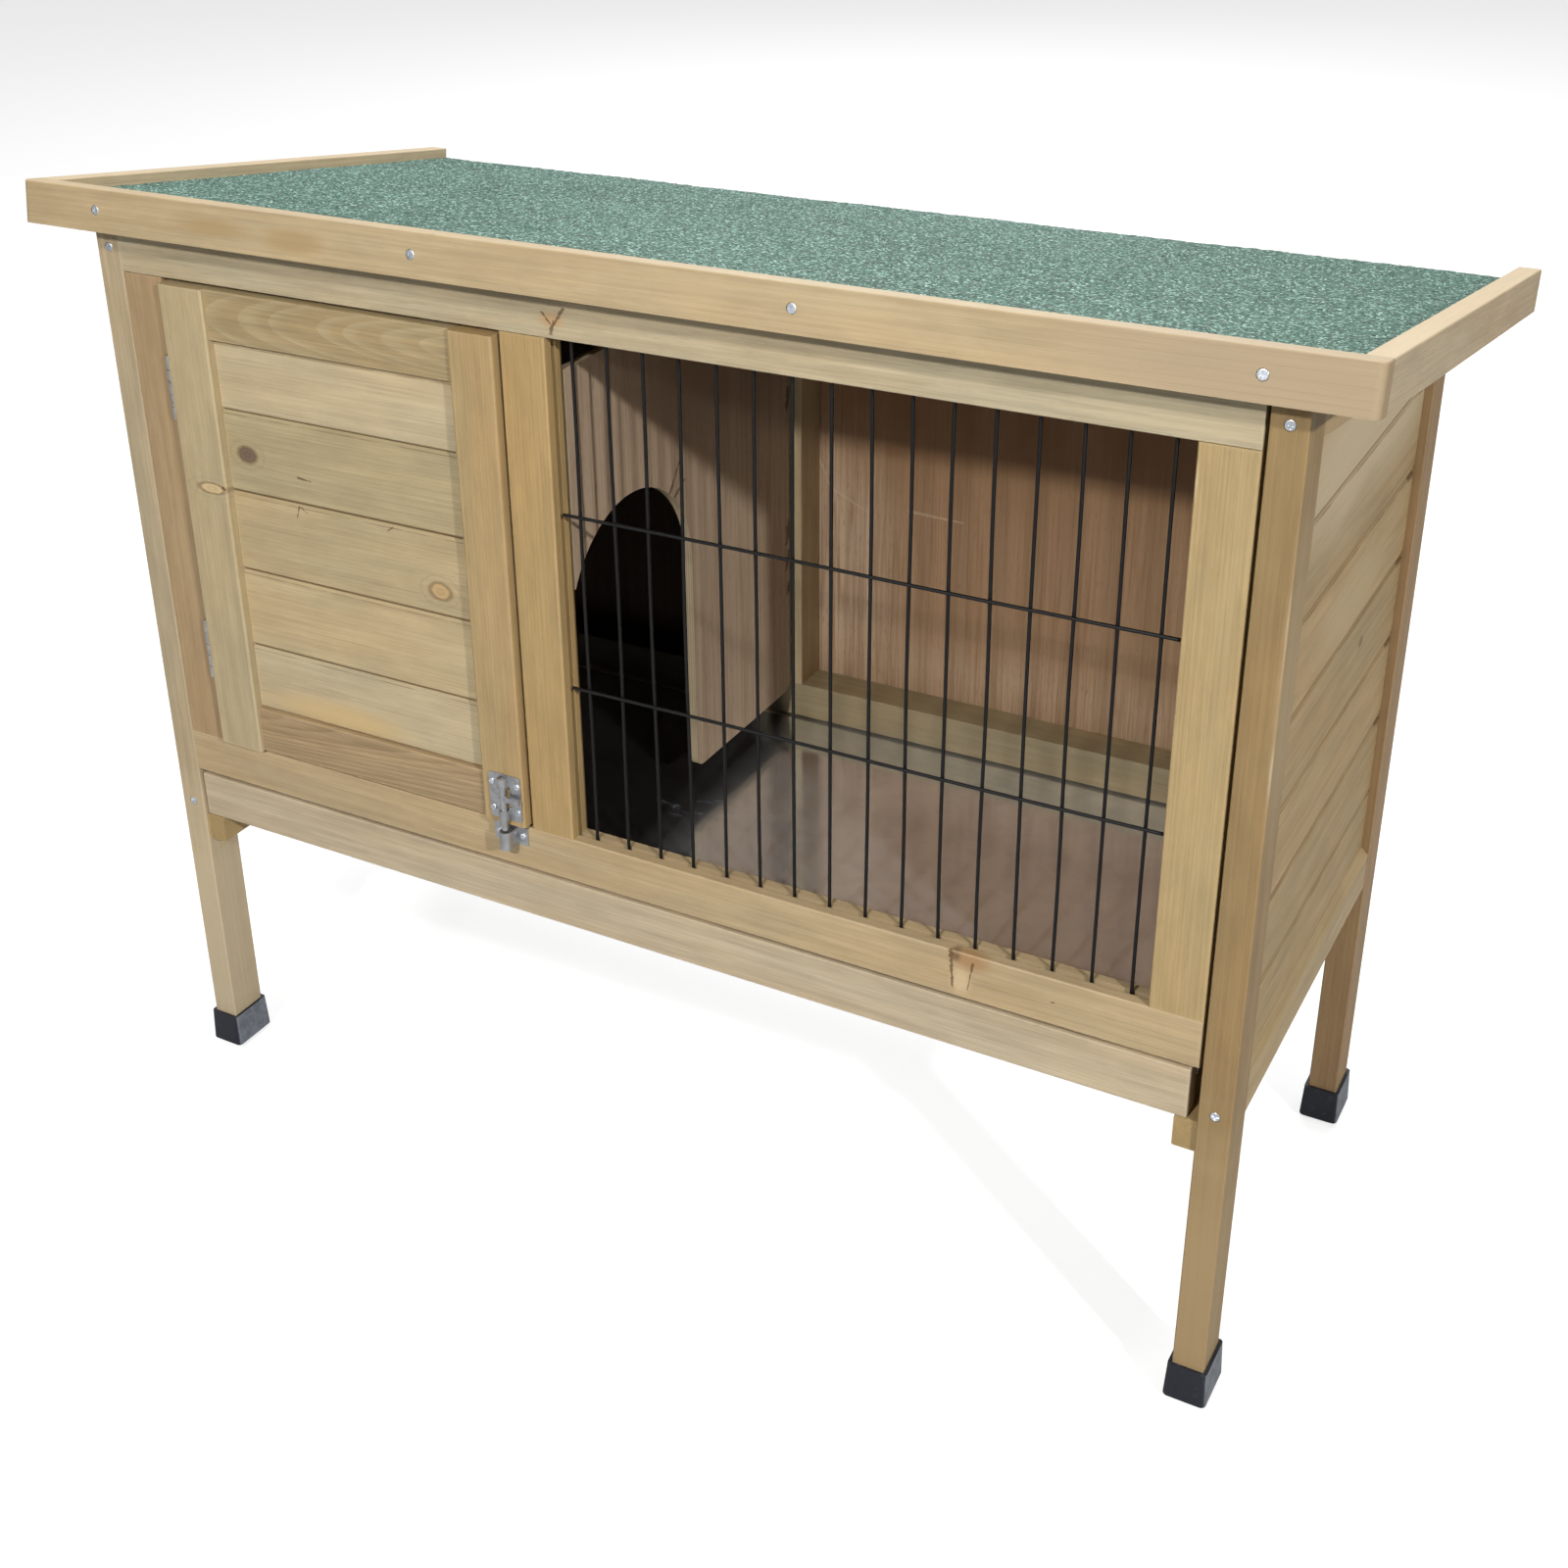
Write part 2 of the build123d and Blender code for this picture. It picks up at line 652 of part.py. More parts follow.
# ---------------------------------------------------------------- hinges
hinge_x = x_door_left - barrel_radius - barrel_clearance
hinge_y = y_face - barrel_radius - barrel_clearance
knuckle_length = (hinge_length - knuckle_gap * (knuckle_count - 1)) / knuckle_count


def hinge_leaf(x_leaf, y_near, first_knuckle, screw_places):
    """Leaf in the door gap with every second knuckle rolled round the pin, for both hinges."""
    with BuildPart() as piece:
        for middle in hinge_heights:
            bottom = middle - hinge_length / 2
            box_between(x_leaf, (y_near, y_face + leaf_depth), (bottom, bottom + hinge_length))
            for index in range(first_knuckle, knuckle_count, 2):
                low = bottom + index * (knuckle_length + knuckle_gap)
                with BuildSketch(Plane.XY.offset(low)):
                    with Locations((hinge_x, hinge_y)):
                        Circle(barrel_radius)
                    with Locations(((x_leaf[0] + x_leaf[1]) / 2, (hinge_y + y_near) / 2)):
                        Rectangle(leaf_thickness, y_near - hinge_y)
                    with Locations((hinge_x, hinge_y)):
                        Circle(hinge_pin_radius + pin_clearance, mode=Mode.SUBTRACT)
                extrude(amount=knuckle_length)
    return drilled(piece, screw_places, small_hole, leaf_thickness + drill_margin)


def hinge_pins():
    """Headed pins, one in each hinge."""
    with BuildPart() as piece:
        for middle in hinge_heights:
            with Locations((hinge_x, hinge_y, middle)):
                Cylinder(hinge_pin_radius, hinge_length)
            with Locations((hinge_x, hinge_y, middle + hinge_length / 2)):
                Cylinder(barrel_radius * 0.8, pin_head_height, align=(Align.CENTER, Align.CENTER, Align.MIN))
    return piece


frame_leaf_x = (x_door_opening, x_door_opening + leaf_thickness)
door_leaf_x = (x_door_left - leaf_thickness, x_door_left)
frame_leaf_places = []
for place in frame_hinge_places:
    frame_leaf_places.append(place * Location((0, 0, leaf_thickness)))
door_leaf_places = []
for place in door_hinge_places:
    door_leaf_places.append(place * Location((0, 0, leaf_thickness)))
save(hinge_leaf(frame_leaf_x, y_face, 0, frame_leaf_places), "hinge_frame_leaves")
save(hinge_leaf(door_leaf_x, y_face - door_leaf_set, 1, door_leaf_places), "hinge_door_leaves")
save(hinge_pins(), "hinge_pins")


def leaf_screws(places):
    """Flush screws through a hinge leaf into the wood."""
    below = (Align.CENTER, Align.CENTER, Align.MAX)
    with BuildPart() as piece:
        for place in places:
            with Locations(place):
                Cylinder(small_screw_radius, small_screw_length, align=below)
    return piece


save(leaf_screws(frame_leaf_places), "hinge_frame_screws")
save(leaf_screws(door_leaf_places), "hinge_door_screws")

# ---------------------------------------------------------------- latch
y_bolt = y_door - latch_sheet - bolt_radius - bolt_clearance
bolt_tip_height = keeper_bottom + keeper_height + bolt_rest_gap
knob_height = latch_plate_bottom + knob_lift


def strap(z_low, height, y_plate, clearance):
    """Pressed strap over the bolt, standing on a plate, with the bolt's way clear through it."""
    inner = bolt_radius + clearance
    outer = inner + latch_sheet
    with BuildPart() as piece:
        with BuildSketch(Plane.XY.offset(z_low)):
            with Locations((latch_x, y_bolt)):
                Circle(outer)
            with Locations((latch_x, (y_bolt + y_plate) / 2)):
                Rectangle(2 * outer, y_plate - y_bolt)
            with Locations((latch_x, y_bolt)):
                Circle(inner, mode=Mode.SUBTRACT)
            with Locations((latch_x, (y_bolt + y_plate) / 2)):
                Rectangle(2 * inner, y_plate - y_bolt, mode=Mode.SUBTRACT)
        extrude(amount=height)
    return piece.part


def latch_plate():
    """Pressed plate on the door, a guide at its foot and its head and a window between them."""
    z_top = latch_plate_bottom + latch_plate_height
    x_plate = (latch_x - latch_plate_width / 2, latch_x + latch_plate_width / 2)
    low_guide = strap(latch_plate_bottom + latch_sheet, guide_height, y_door - latch_sheet, bolt_clearance)
    high_guide = strap(z_top - latch_sheet - guide_height, guide_height, y_door - latch_sheet, bolt_clearance)
    with BuildPart() as piece:
        box_between(x_plate, (y_door - latch_sheet, y_door), (latch_plate_bottom, z_top))
        fillet(piece.edges().filter_by(Axis.Y), 2 * latch_sheet)
        x_window = (latch_x - latch_window_width / 2, latch_x + latch_window_width / 2)
        z_window = (latch_plate_bottom + 2 * latch_sheet + guide_height, z_top - 2 * latch_sheet - guide_height)
        box_between(x_window, (y_door - latch_sheet, y_door), z_window, Mode.SUBTRACT)
        add(low_guide)
        add(high_guide)
    places = []
    for place in latch_screw_places:
        places.append(place * Location((0, 0, latch_sheet)))
    return drilled(piece, places, small_hole, latch_sheet + drill_margin)


def latch_bolt():
    """Round bolt with a chamfered tip and a flat thumb lever."""
    with BuildPart() as piece:
        with Locations((latch_x, y_bolt, bolt_tip_height)):
            Cylinder(bolt_radius, bolt_length, align=(Align.CENTER, Align.CENTER, Align.MIN))
        chamfer(piece.faces().sort_by(Axis.Z)[0].edges(), bolt_radius / 4)
        box_between(
            (latch_x, latch_x + knob_reach),
            (y_bolt - knob_thickness, y_bolt),
            (knob_height, knob_height + knob_width),
        )
    return piece


def latch_keeper():
    """Plate on the bottom rail with a raised strap that takes the shot bolt."""
    x_plate = (keeper_x - keeper_width / 2, keeper_x + keeper_width / 2)
    loop = strap(keeper_bottom, keeper_height, y_face - latch_sheet, keeper_clearance)
    with BuildPart() as piece:
        box_between(x_plate, (y_face - latch_sheet, y_face), (keeper_bottom, keeper_bottom + keeper_height))
        fillet(piece.edges().filter_by(Axis.Y), latch_sheet)
        add(loop)
    places = []
    for place in keeper_screw_places:
        places.append(place * Location((0, 0, latch_sheet)))
    return drilled(piece, places, small_hole, latch_sheet + drill_margin)


save(latch_plate(), "latch_plate")
save(latch_bolt(), "latch_bolt")
save(latch_keeper(), "latch_keeper")


def plate_screws(places):
    """Small pan-head screws through a pressed plate."""
    lifted = []
    for place in places:
        lifted.append(place * Location((0, 0, latch_sheet)))
    return screws(lifted, small_screw_length, small_screw_radius, small_head_radius, small_head_height)


save(plate_screws(latch_screw_places), "latch_screws")
save(plate_screws(keeper_screw_places), "keeper_screws")

# ---------------------------------------------------------------- tray and its runners
drawer_length = 2 * (x_post - drawer_side_gap)
drawer_top = frame_bottom_height - drawer_top_gap
drawer_bottom = drawer_top - drawer_height
y_drawer = (y_face + drawer_setback, y_face + drawer_setback + drawer_thickness)
x_drawer = (drawer_shift - drawer_length / 2, drawer_shift + drawer_length / 2)
x_tray = (drawer_shift - x_post + tray_side_gap, drawer_shift + x_post - tray_side_gap)
runner_top = drawer_bottom - slide_clearance
y_tray_end = y_post_back + tray_back_overlap
y_lip_end = y_post_back - tray_lip_gap

save(stick(x_drawer, y_drawer, (drawer_bottom, drawer_top), Axis.X), "drawer_front")

for side, side_name in ((-1, "left"), (1, "right")):
    x_pair = (side * x_post, side * (x_post - runner_width))
    runner = stick(
        (min(x_pair), max(x_pair)),
        (y_face + runner_setback, y_back),
        (runner_top - runner_height, runner_top),
        Axis.Y,
    )
    save(runner, side_name + "_tray_runner")

with BuildPart() as tray:
    box_between(x_tray, (y_drawer[1], y_tray_end), (tray_floor_height, tray_floor_height + tray_sheet))
    for lip_x in ((x_tray[0], x_tray[0] + tray_sheet), (x_tray[1] - tray_sheet, x_tray[1])):
        box_between(lip_x, (y_drawer[1], y_lip_end), (tray_floor_height, tray_floor_height + tray_lip))
save(tray, "metal_tray")

with BuildPart() as slides:
    for slide_x in ((x_tray[0], x_tray[0] + runner_width), (x_tray[1] - runner_width, x_tray[1])):
        box_between(slide_x, (y_drawer[1], y_lip_end), (runner_top + slide_clearance, tray_floor_height))
save(slides, "tray_slides")
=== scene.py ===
"""Rabbit hutch: stained fir on four capped legs, wire-fronted run, slide-out tray, felted roof."""
import bpy
import math
import numpy as np
from mathutils import Matrix, Vector


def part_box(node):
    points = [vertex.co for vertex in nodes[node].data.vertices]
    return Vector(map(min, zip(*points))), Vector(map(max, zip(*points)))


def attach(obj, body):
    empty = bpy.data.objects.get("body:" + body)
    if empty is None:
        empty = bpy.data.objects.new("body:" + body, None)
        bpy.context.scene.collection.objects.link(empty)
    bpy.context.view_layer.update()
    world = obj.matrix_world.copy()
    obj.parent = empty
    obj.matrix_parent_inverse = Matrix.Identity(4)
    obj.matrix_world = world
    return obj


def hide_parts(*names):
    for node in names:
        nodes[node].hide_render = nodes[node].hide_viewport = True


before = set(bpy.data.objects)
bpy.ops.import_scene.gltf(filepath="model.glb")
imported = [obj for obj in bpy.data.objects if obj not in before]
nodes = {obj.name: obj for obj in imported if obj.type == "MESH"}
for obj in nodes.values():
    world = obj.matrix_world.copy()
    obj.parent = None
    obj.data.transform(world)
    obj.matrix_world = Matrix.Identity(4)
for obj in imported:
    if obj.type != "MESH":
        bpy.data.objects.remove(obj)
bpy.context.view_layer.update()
scene = bpy.context.scene

# -------------------- studio
# A wide pale floor under a bright room. One small lamp stands in front, a second off to the right,
# and three large soft panels fill from the front, from overhead and from behind.
scene.view_settings.view_transform = "Standard"

floor_reach = 30.0
floor_mesh = bpy.data.meshes.new("floor")
floor_mesh.from_pydata(
    [(x * floor_reach, y * floor_reach, 0.0) for x, y in ((-1, -1), (1, -1), (1, 1), (-1, 1))],
    [],
    [(0, 1, 2, 3)],
)
floor = bpy.data.objects.new("floor", floor_mesh)
scene.collection.objects.link(floor)


def node(tree, kind, feeds=(), **properties):
    """One shader node. Feeds gives each input a socket to follow or a constant."""
    made = tree.nodes.new("ShaderNode" + kind)
    for key, value in properties.items():
        setattr(made, key, value)
    for key, value in dict(feeds).items():
        if isinstance(value, bpy.types.NodeSocket):
            tree.links.new(value, made.inputs[key])
        else:
            made.inputs[key].default_value = value
    return made


def finish(name):
    """A new material with its Principled shader: (material, its tree, the shader)."""
    material = bpy.data.materials.new(name)
    material.use_nodes = True
    return material, material.node_tree, material.node_tree.nodes["Principled BSDF"]


floor_finish, tree, shader = finish("pale_floor")
paper = node(tree, "TexNoise", {"Scale": 3.0, "Detail": 4.0})
paper_tone = node(tree, "MapRange", {"Value": paper.outputs["Fac"], "To Min": 0.43, "To Max": 0.45})
tree.links.new(paper_tone.outputs["Result"], shader.inputs["Base Color"])
shader.inputs["Roughness"].default_value = 0.9
shader.inputs["Emission Color"].default_value = (1.0, 1.0, 1.0, 1.0)
looked_at = node(tree, "LightPath").outputs["Is Camera Ray"]
glow = node(tree, "MapRange", {"Value": looked_at, "To Min": 0.0, "To Max": 0.72})
tree.links.new(glow.outputs["Result"], shader.inputs["Emission Strength"])
floor_mesh.materials.append(floor_finish)

room = bpy.data.worlds.new("room")
scene.world = room
room.use_nodes = True
sky = room.node_tree.nodes["Background"]
seen = node(room.node_tree, "LightPath")
mirrored_share = 0.5  # of the seen brightness shows in mirrors
room_fill = 0.055  # light that the room itself gives
room_seen = 0.92
mirrored = node(room.node_tree, "Math", {0: seen.outputs["Is Glossy Ray"], 1: mirrored_share},
                operation="MULTIPLY")
looked_at = node(room.node_tree, "Math", {0: seen.outputs["Is Camera Ray"], 1: mirrored.outputs[0]},
                 operation="MAXIMUM")
room_level = node(room.node_tree, "MapRange", {"Value": looked_at.outputs[0], "To Min": room_fill,
                                               "To Max": room_seen})
room.node_tree.links.new(room_level.outputs["Result"], sky.inputs["Strength"])
sky.inputs["Color"].default_value = (1.0, 1.0, 1.0, 1.0)


def lamp(name, place, target, size, watts, colour):
    """Square area lamp at a place, facing a target."""
    light = bpy.data.lights.new(name, "AREA")
    light.size = size
    light.energy = watts
    light.color = colour
    made = bpy.data.objects.new(name, light)
    made.location = place
    made.rotation_mode = "QUATERNION"
    made.rotation_quaternion = (Vector(target) - Vector(place)).to_track_quat("-Z", "Y")
    scene.collection.objects.link(made)


middle = (0.0, 0.0, 0.42)
lamp_white = (1.0, 0.985, 0.96)
lamp("front_lamp", (0.15, -2.00, 1.57), middle, 0.08, 27.0, lamp_white)
lamp("right_lamp", (3.05, -2.05, 2.10), middle, 0.12, 90.0, lamp_white)
lamp("front_panel", (-0.40, -3.60, 3.00), middle, 1.6, 14.0, (1.0, 1.0, 1.0))
lamp("top_panel", (0.0, 0.6, 4.0), middle, 3.0, 140.0, (0.97, 0.99, 1.0))
lamp("back_panel_lamp", (-1.5, 4.0, 2.4), middle, 2.0, 38.0, (1.0, 1.0, 1.0))

camera_place = Vector((0.64665, -1.19480, 1.02604))
camera_turn = math.radians(30.52)
camera_tilt = math.radians(26.31)
camera_roll = math.radians(-1.44)
forward = Vector((
    -math.sin(camera_turn) * math.cos(camera_tilt),
    math.cos(camera_turn) * math.cos(camera_tilt),
    -math.sin(camera_tilt),
))
level = Vector((math.cos(camera_turn), math.sin(camera_turn), 0.0))
upright = level.cross(forward)
right = math.cos(camera_roll) * level + math.sin(camera_roll) * upright
up = math.cos(camera_roll) * upright - math.sin(camera_roll) * level
camera_data = bpy.data.cameras.new("camera")
camera_data.sensor_width = 36.0
camera_data.lens = 47.175
camera_data.shift_x = 0.0488
camera_data.shift_y = -0.0769
camera_data.clip_start = 0.05
camera_data.clip_end = 100.0
camera = bpy.data.objects.new("camera", camera_data)
camera.matrix_world = Matrix.Translation(camera_place) @ Matrix((right, up, -forward)).transposed().to_4x4()
scene.collection.objects.link(camera)
scene.camera = camera

# -------------------- posts
# The four legs are planed fir sticks, 21 by 31 mm, with eased edges, under a thin khaki stain. Each
# one runs from its cap to the roof and is screwed through its face into the ends of the side rails.


def sums(tree, operation, first, second=0.0, third=0.0, **more):
    """Result of one Math node."""
    return node(tree, "Math", {0: first, 1: second, 2: third}, operation=operation, **more).outputs[0]


def times(tree, first, second):
    """Product of two values."""
    return sums(tree, "MULTIPLY", first, second)


def vectors(tree, operation, first, second=(0.0, 0.0, 0.0), slot="Vector"):
    """Result of one Vector Math node."""
    return node(tree, "VectorMath", {0: first, 1: second}, operation=operation).outputs[slot]


def stretched(tree, place, scale):
    """A place with each of its coordinates multiplied by a scale."""
    return vectors(tree, "MULTIPLY", place, scale)


def axes(tree, place):
    """The three coordinates of a place."""
    return node(tree, "SeparateXYZ", {0: place}).outputs


def reach_from(tree, place, centre, size):
    """Distance from a centre, which is 1 on the ellipsoid of this half size."""
    offset = vectors(tree, "DIVIDE", vectors(tree, "SUBTRACT", place, centre), size)
    return vectors(tree, "LENGTH", offset, slot="Value")


def scaled(tree, vector, factor):
    """A vector or a colour multiplied by one factor."""
    made = vectors(tree, "SCALE", vector)
    tree.links.new(factor, made.node.inputs["Scale"])
    return made


def step(tree, value, low, high, start=0.0, end=1.0):
    """Smooth rise from start to end as the value goes from low to high."""
    feeds = {"Value": value, "From Min": low, "From Max": high, "To Min": start, "To Max": end}
    return node(tree, "MapRange", feeds, interpolation_type="SMOOTHSTEP").outputs["Result"]


def blended(tree, share, first, second):
    """Two colours mixed by a share."""
    return node(tree, "Mix", {0: share, 6: first, 7: second}, data_type="RGBA").outputs[2]


def speckle(tree, vector, scale, detail=2.0, roughness=0.5, slot="Fac"):
    """Noise over a vector."""
    feeds = {"Vector": vector, "Scale": scale, "Detail": detail, "Roughness": roughness}
    return node(tree, "TexNoise", feeds).outputs[slot]


def new_group(name, ins, outs):
    """Empty node group with named inputs and number outputs: (group, its input node, its output node)."""
    group = bpy.data.node_groups.new(name, "ShaderNodeTree")
    kinds = {"v": "NodeSocketVector", "f": "NodeSocketFloat"}
    for key, kind in ins:
        group.interface.new_socket(key, in_out="INPUT", socket_type=kinds[kind])
    for key in outs:
        group.interface.new_socket(key, in_out="OUTPUT", socket_type="NodeSocketFloat")
    return group, group.nodes.new("NodeGroupInput"), group.nodes.new("NodeGroupOutput")


def raised(tree, shader, height, strength, distance):
    """Lets a height stand up from the surface."""
    bump = node(tree, "Bump", {"Height": height, "Strength": strength, "Distance": distance})
    tree.links.new(bump.outputs["Normal"], shader.inputs["Normal"])


def dress(members, material):
    """Gives CAD nodes a material in place of their own."""
    for member in members:
        nodes[member].data.materials.clear()
        nodes[member].data.materials.append(material)


def placed(tree, group, feeds):
    """A node group placed in a tree, with its inputs fed."""
    made = node(tree, "Group", node_tree=group)
    for key, value in feeds.items():
        if isinstance(value, bpy.types.NodeSocket):
            tree.links.new(value, made.inputs[key])
        else:
            made.inputs[key].default_value = value
    return made


def fir_group():
    """Yearly rings round a wandering heart that runs along X, with long fibres and slow clouds of stain.

    The ring share rises slowly across each year and falls at its end; the heart is Heart away from
    the piece's own middle, so that a near heart gives arched figure and a far one straight lines.
    """
    group, into, out = new_group(
        "fir",
        (("Place", "v"), ("Heart", "v"), ("Year", "f"), ("Wander", "f"), ("Seed", "f"), ("Bend", "f")),
        ("Ring", "Fibre", "Cloud", "Fleck", "Glint"),
    )
    get = into.outputs
    second_seed = times(group, get["Seed"], 1.7)
    seed = node(group, "CombineXYZ", {0: get["Seed"], 1: second_seed, 2: get["Seed"]}).outputs[0]
    drawn = vectors(group, "ADD", stretched(group, get["Place"], (2.2, 16.0, 16.0)), seed)
    sway = vectors(group, "SUBTRACT", speckle(group, drawn, 1.0, 2.0, 0.5, "Color"), (0.5, 0.5, 0.5))
    sway = scaled(group, sway, get["Wander"])
    from_heart = vectors(group, "ADD", vectors(group, "SUBTRACT", get["Place"], get["Heart"]), sway)
    across = vectors(group, "LENGTH", stretched(group, from_heart, (0.0, 1.0, 1.0)), slot="Value")
    across = sums(group, "ADD", across, get["Bend"])
    years = sums(group, "DIVIDE", across, get["Year"])
    uneven = speckle(group, node(group, "CombineXYZ", {0: years, 1: get["Seed"]}).outputs[0], 0.6, 1.0)
    years = sums(group, "ADD", years, times(group, uneven, 1.6))
    phase = sums(group, "FRACT", years)
    late = times(group, step(group, phase, 0.25, 0.93), step(group, phase, 0.94, 1.0, 1.0, 0.0))
    fine = vectors(group, "ADD", stretched(group, get["Place"], (14.0, 900.0, 900.0)), seed)
    coarse = vectors(group, "ADD", stretched(group, get["Place"], (5.0, 160.0, 160.0)), seed)
    fibre = sums(group, "ADD", times(group, speckle(group, fine, 1.0, 3.0, 0.6), 0.55),
                 times(group, speckle(group, coarse, 1.0, 3.0, 0.55), 0.45))
    soft = vectors(group, "ADD", stretched(group, get["Place"], (6.0, 30.0, 30.0)), seed)
    dashes = vectors(group, "ADD", stretched(group, get["Place"], (70.0, 1500.0, 1500.0)), seed)
    group.links.new(late, out.inputs["Ring"])
    group.links.new(fibre, out.inputs["Fibre"])
    group.links.new(speckle(group, soft, 1.0, 2.0, 0.5), out.inputs["Cloud"])
    dash = speckle(group, dashes, 1.0, 1.0)
    group.links.new(step(group, dash, 0.68, 0.76), out.inputs["Fleck"])
    group.links.new(step(group, dash, 0.24, 0.32, 1.0, 0.0), out.inputs["Glint"])
    return group


def knot_group():
    """A branch cut across: its core, the dark rim round it, and how far it bends the rings about it.

    The distance from its centre is stretched along the grain by Shape and roughened a little.
    """
    group, into, out = new_group(
        "knot",
        (("Place", "v"), ("Centre", "v"), ("Shape", "v"), ("Radius", "f")),
        ("Core", "Rim", "Rays", "Halo", "Bend"),
    )
    get = into.outputs
    offset = stretched(group, vectors(group, "SUBTRACT", get["Place"], get["Centre"]), get["Shape"])
    rough = speckle(group, get["Place"], 260.0, 2.0)
    reach = sums(group, "DIVIDE", vectors(group, "LENGTH", offset, slot="Value"), get["Radius"])
    reach = sums(group, "ADD", reach, times(group, sums(group, "SUBTRACT", rough, 0.5), 0.35))
    near = step(group, reach, 0.6, 3.2, 1.0, 0.0)
    group.links.new(step(group, reach, 0.86, 1.0, 1.0, 0.0), out.inputs["Core"])
    rim = times(group, step(group, reach, 0.72, 0.98), step(group, reach, 1.0, 1.35, 1.0, 0.0))
    group.links.new(rim, out.inputs["Rim"])
    group.links.new(sums(group, "PINGPONG", times(group, reach, 3.2), 1.0), out.inputs["Rays"])
    ripples = step(group, sums(group, "PINGPONG", times(group, reach, 1.6), 1.0), 0.72, 1.0)
    around = times(group, step(group, reach, 1.2, 1.5), step(group, reach, 2.0, 3.6, 1.0, 0.0))
    group.links.new(times(group, ripples, around), out.inputs["Halo"])
    group.links.new(times(group, times(group, near, near), get["Radius"]), out.inputs["Bend"])
    return group


def arris_group():
    """How near a point is to an edge between two faces of a stick, from its middle and half sizes.

    Of the three distances to its faces the least is nought on the surface, so the middle one is the
    distance along the surface to the nearest edge.
    """
    group, into, out = new_group(
        "arris", (("Place", "v"), ("Middle", "v"), ("Half", "v")), ("Distance",)
    )
    get = into.outputs
    inside = vectors(group, "ABSOLUTE", vectors(group, "SUBTRACT", get["Place"], get["Middle"]))
    parts = axes(group, vectors(group, "SUBTRACT", get["Half"], inside))
    low = sums(group, "MINIMUM", parts[0], parts[1])
    high = sums(group, "MAXIMUM", parts[0], parts[1])
    second = sums(group, "MAXIMUM", low, sums(group, "MINIMUM", high, parts[2]))
    group.links.new(second, out.inputs["Distance"])
    return group


def crack_group():
    """How deep a point lies in a crack: the distance to the line from Start to End, made ragged."""
    group, into, out = new_group(
        "crack", (("Place", "v"), ("Start", "v"), ("End", "v"), ("Width", "f")), ("Depth",)
    )
    get = into.outputs
    run = vectors(group, "SUBTRACT", get["End"], get["Start"])
    gone = vectors(group, "SUBTRACT", get["Place"], get["Start"])
    length = vectors(group, "DOT_PRODUCT", run, run, slot="Value")
    along_run = vectors(group, "DOT_PRODUCT", gone, run, slot="Value")
    share = sums(group, "DIVIDE", along_run, length, use_clamp=True)
    nearest = scaled(group, run, share)
    wide = vectors(group, "LENGTH", vectors(group, "SUBTRACT", gone, nearest), slot="Value")
    ragged = times(group, sums(group, "SUBTRACT", speckle(group, get["Place"], 420.0, 3.0), 0.5), 3.0)
    taper = sums(group, "SUBTRACT", 1.0, times(group, share, 0.6))
    reach = sums(group, "DIVIDE", wide, times(group, get["Width"], taper))
    group.links.new(step(group, sums(group, "ADD", reach, ragged), 0.5, 1.2, 1.0, 0.0), out.inputs["Depth"])
    return group


def nest_shade_group():
    """How much painted shade a surface takes inside the closed nest: 1 where it faces the nest's middle and
    lies in the nest.
    """
    group, into, out = new_group(
        "painted_nest_shade", (("Place", "v"), ("Normal", "v"), ("Nest", "v"), ("Wall", "f")), ("NestShade",)
    )
    get = into.outputs
    toward = vectors(group, "SUBTRACT", get["Nest"], get["Place"])
    faces_in = vectors(group, "DOT_PRODUCT", toward, get["Normal"], slot="Value")
    left_of_wall = sums(group, "SUBTRACT", get["Wall"], axes(group, get["Place"])[0])
    nest_shade_share = times(group, step(group, faces_in, 0.0, 0.01), step(group, left_of_wall, 0.0, 0.012))
    group.links.new(nest_shade_share, out.inputs["NestShade"])
    return group


fir = fir_group()
knot = knot_group()
arris = arris_group()
crack = crack_group()
painted_nest_shade = nest_shade_group()
nest_middle = (-0.22, -0.02, 0.40)
nest_wall_back = -0.0520


def painted_nest_shading(tree, coordinates):
    """The painted shade, nearly black, that a piece takes inside the nest, from its texture coordinates."""
    feeds = {"Place": coordinates.outputs["Object"], "Normal": coordinates.outputs["Normal"],
             "Nest": nest_middle, "Wall": nest_wall_back}
    return placed(tree, painted_nest_shade, feeds).outputs[0]


def cracking(tree, place, start, end, width):
    """How deep a place lies in a crack from start to end."""
    return placed(tree, crack, {"Place": place, "Start": start, "End": end, "Width": width}).outputs[0]


grain_orders = {"X": (0, 1, 2), "Y": (1, 0, 2), "Z": (2, 0, 1)}
brow_depth = 0.0030  # below a board's top, where its bevel ends
board_foot = 0.0575  # below a board's top, where the next joint begins
stain_depth = 0.88  # share of a chart colour's light that the stained wood sends back


def shade(red, green, blue):
    """A colour off a 0 to 255 chart as light."""
    chart = np.array((red, green, blue)) / 255.0
    light = np.where(chart <= 0.04045, chart / 12.92, ((chart + 0.055) / 1.055) ** 2.4)
    return (*light.tolist(), 1.0)


def dimmed(colour, share):
    """A colour with its light multiplied by a share, or by one share for each of red, green and blue."""
    return (*(np.array(colour[:3]) * share).tolist(), 1.0)


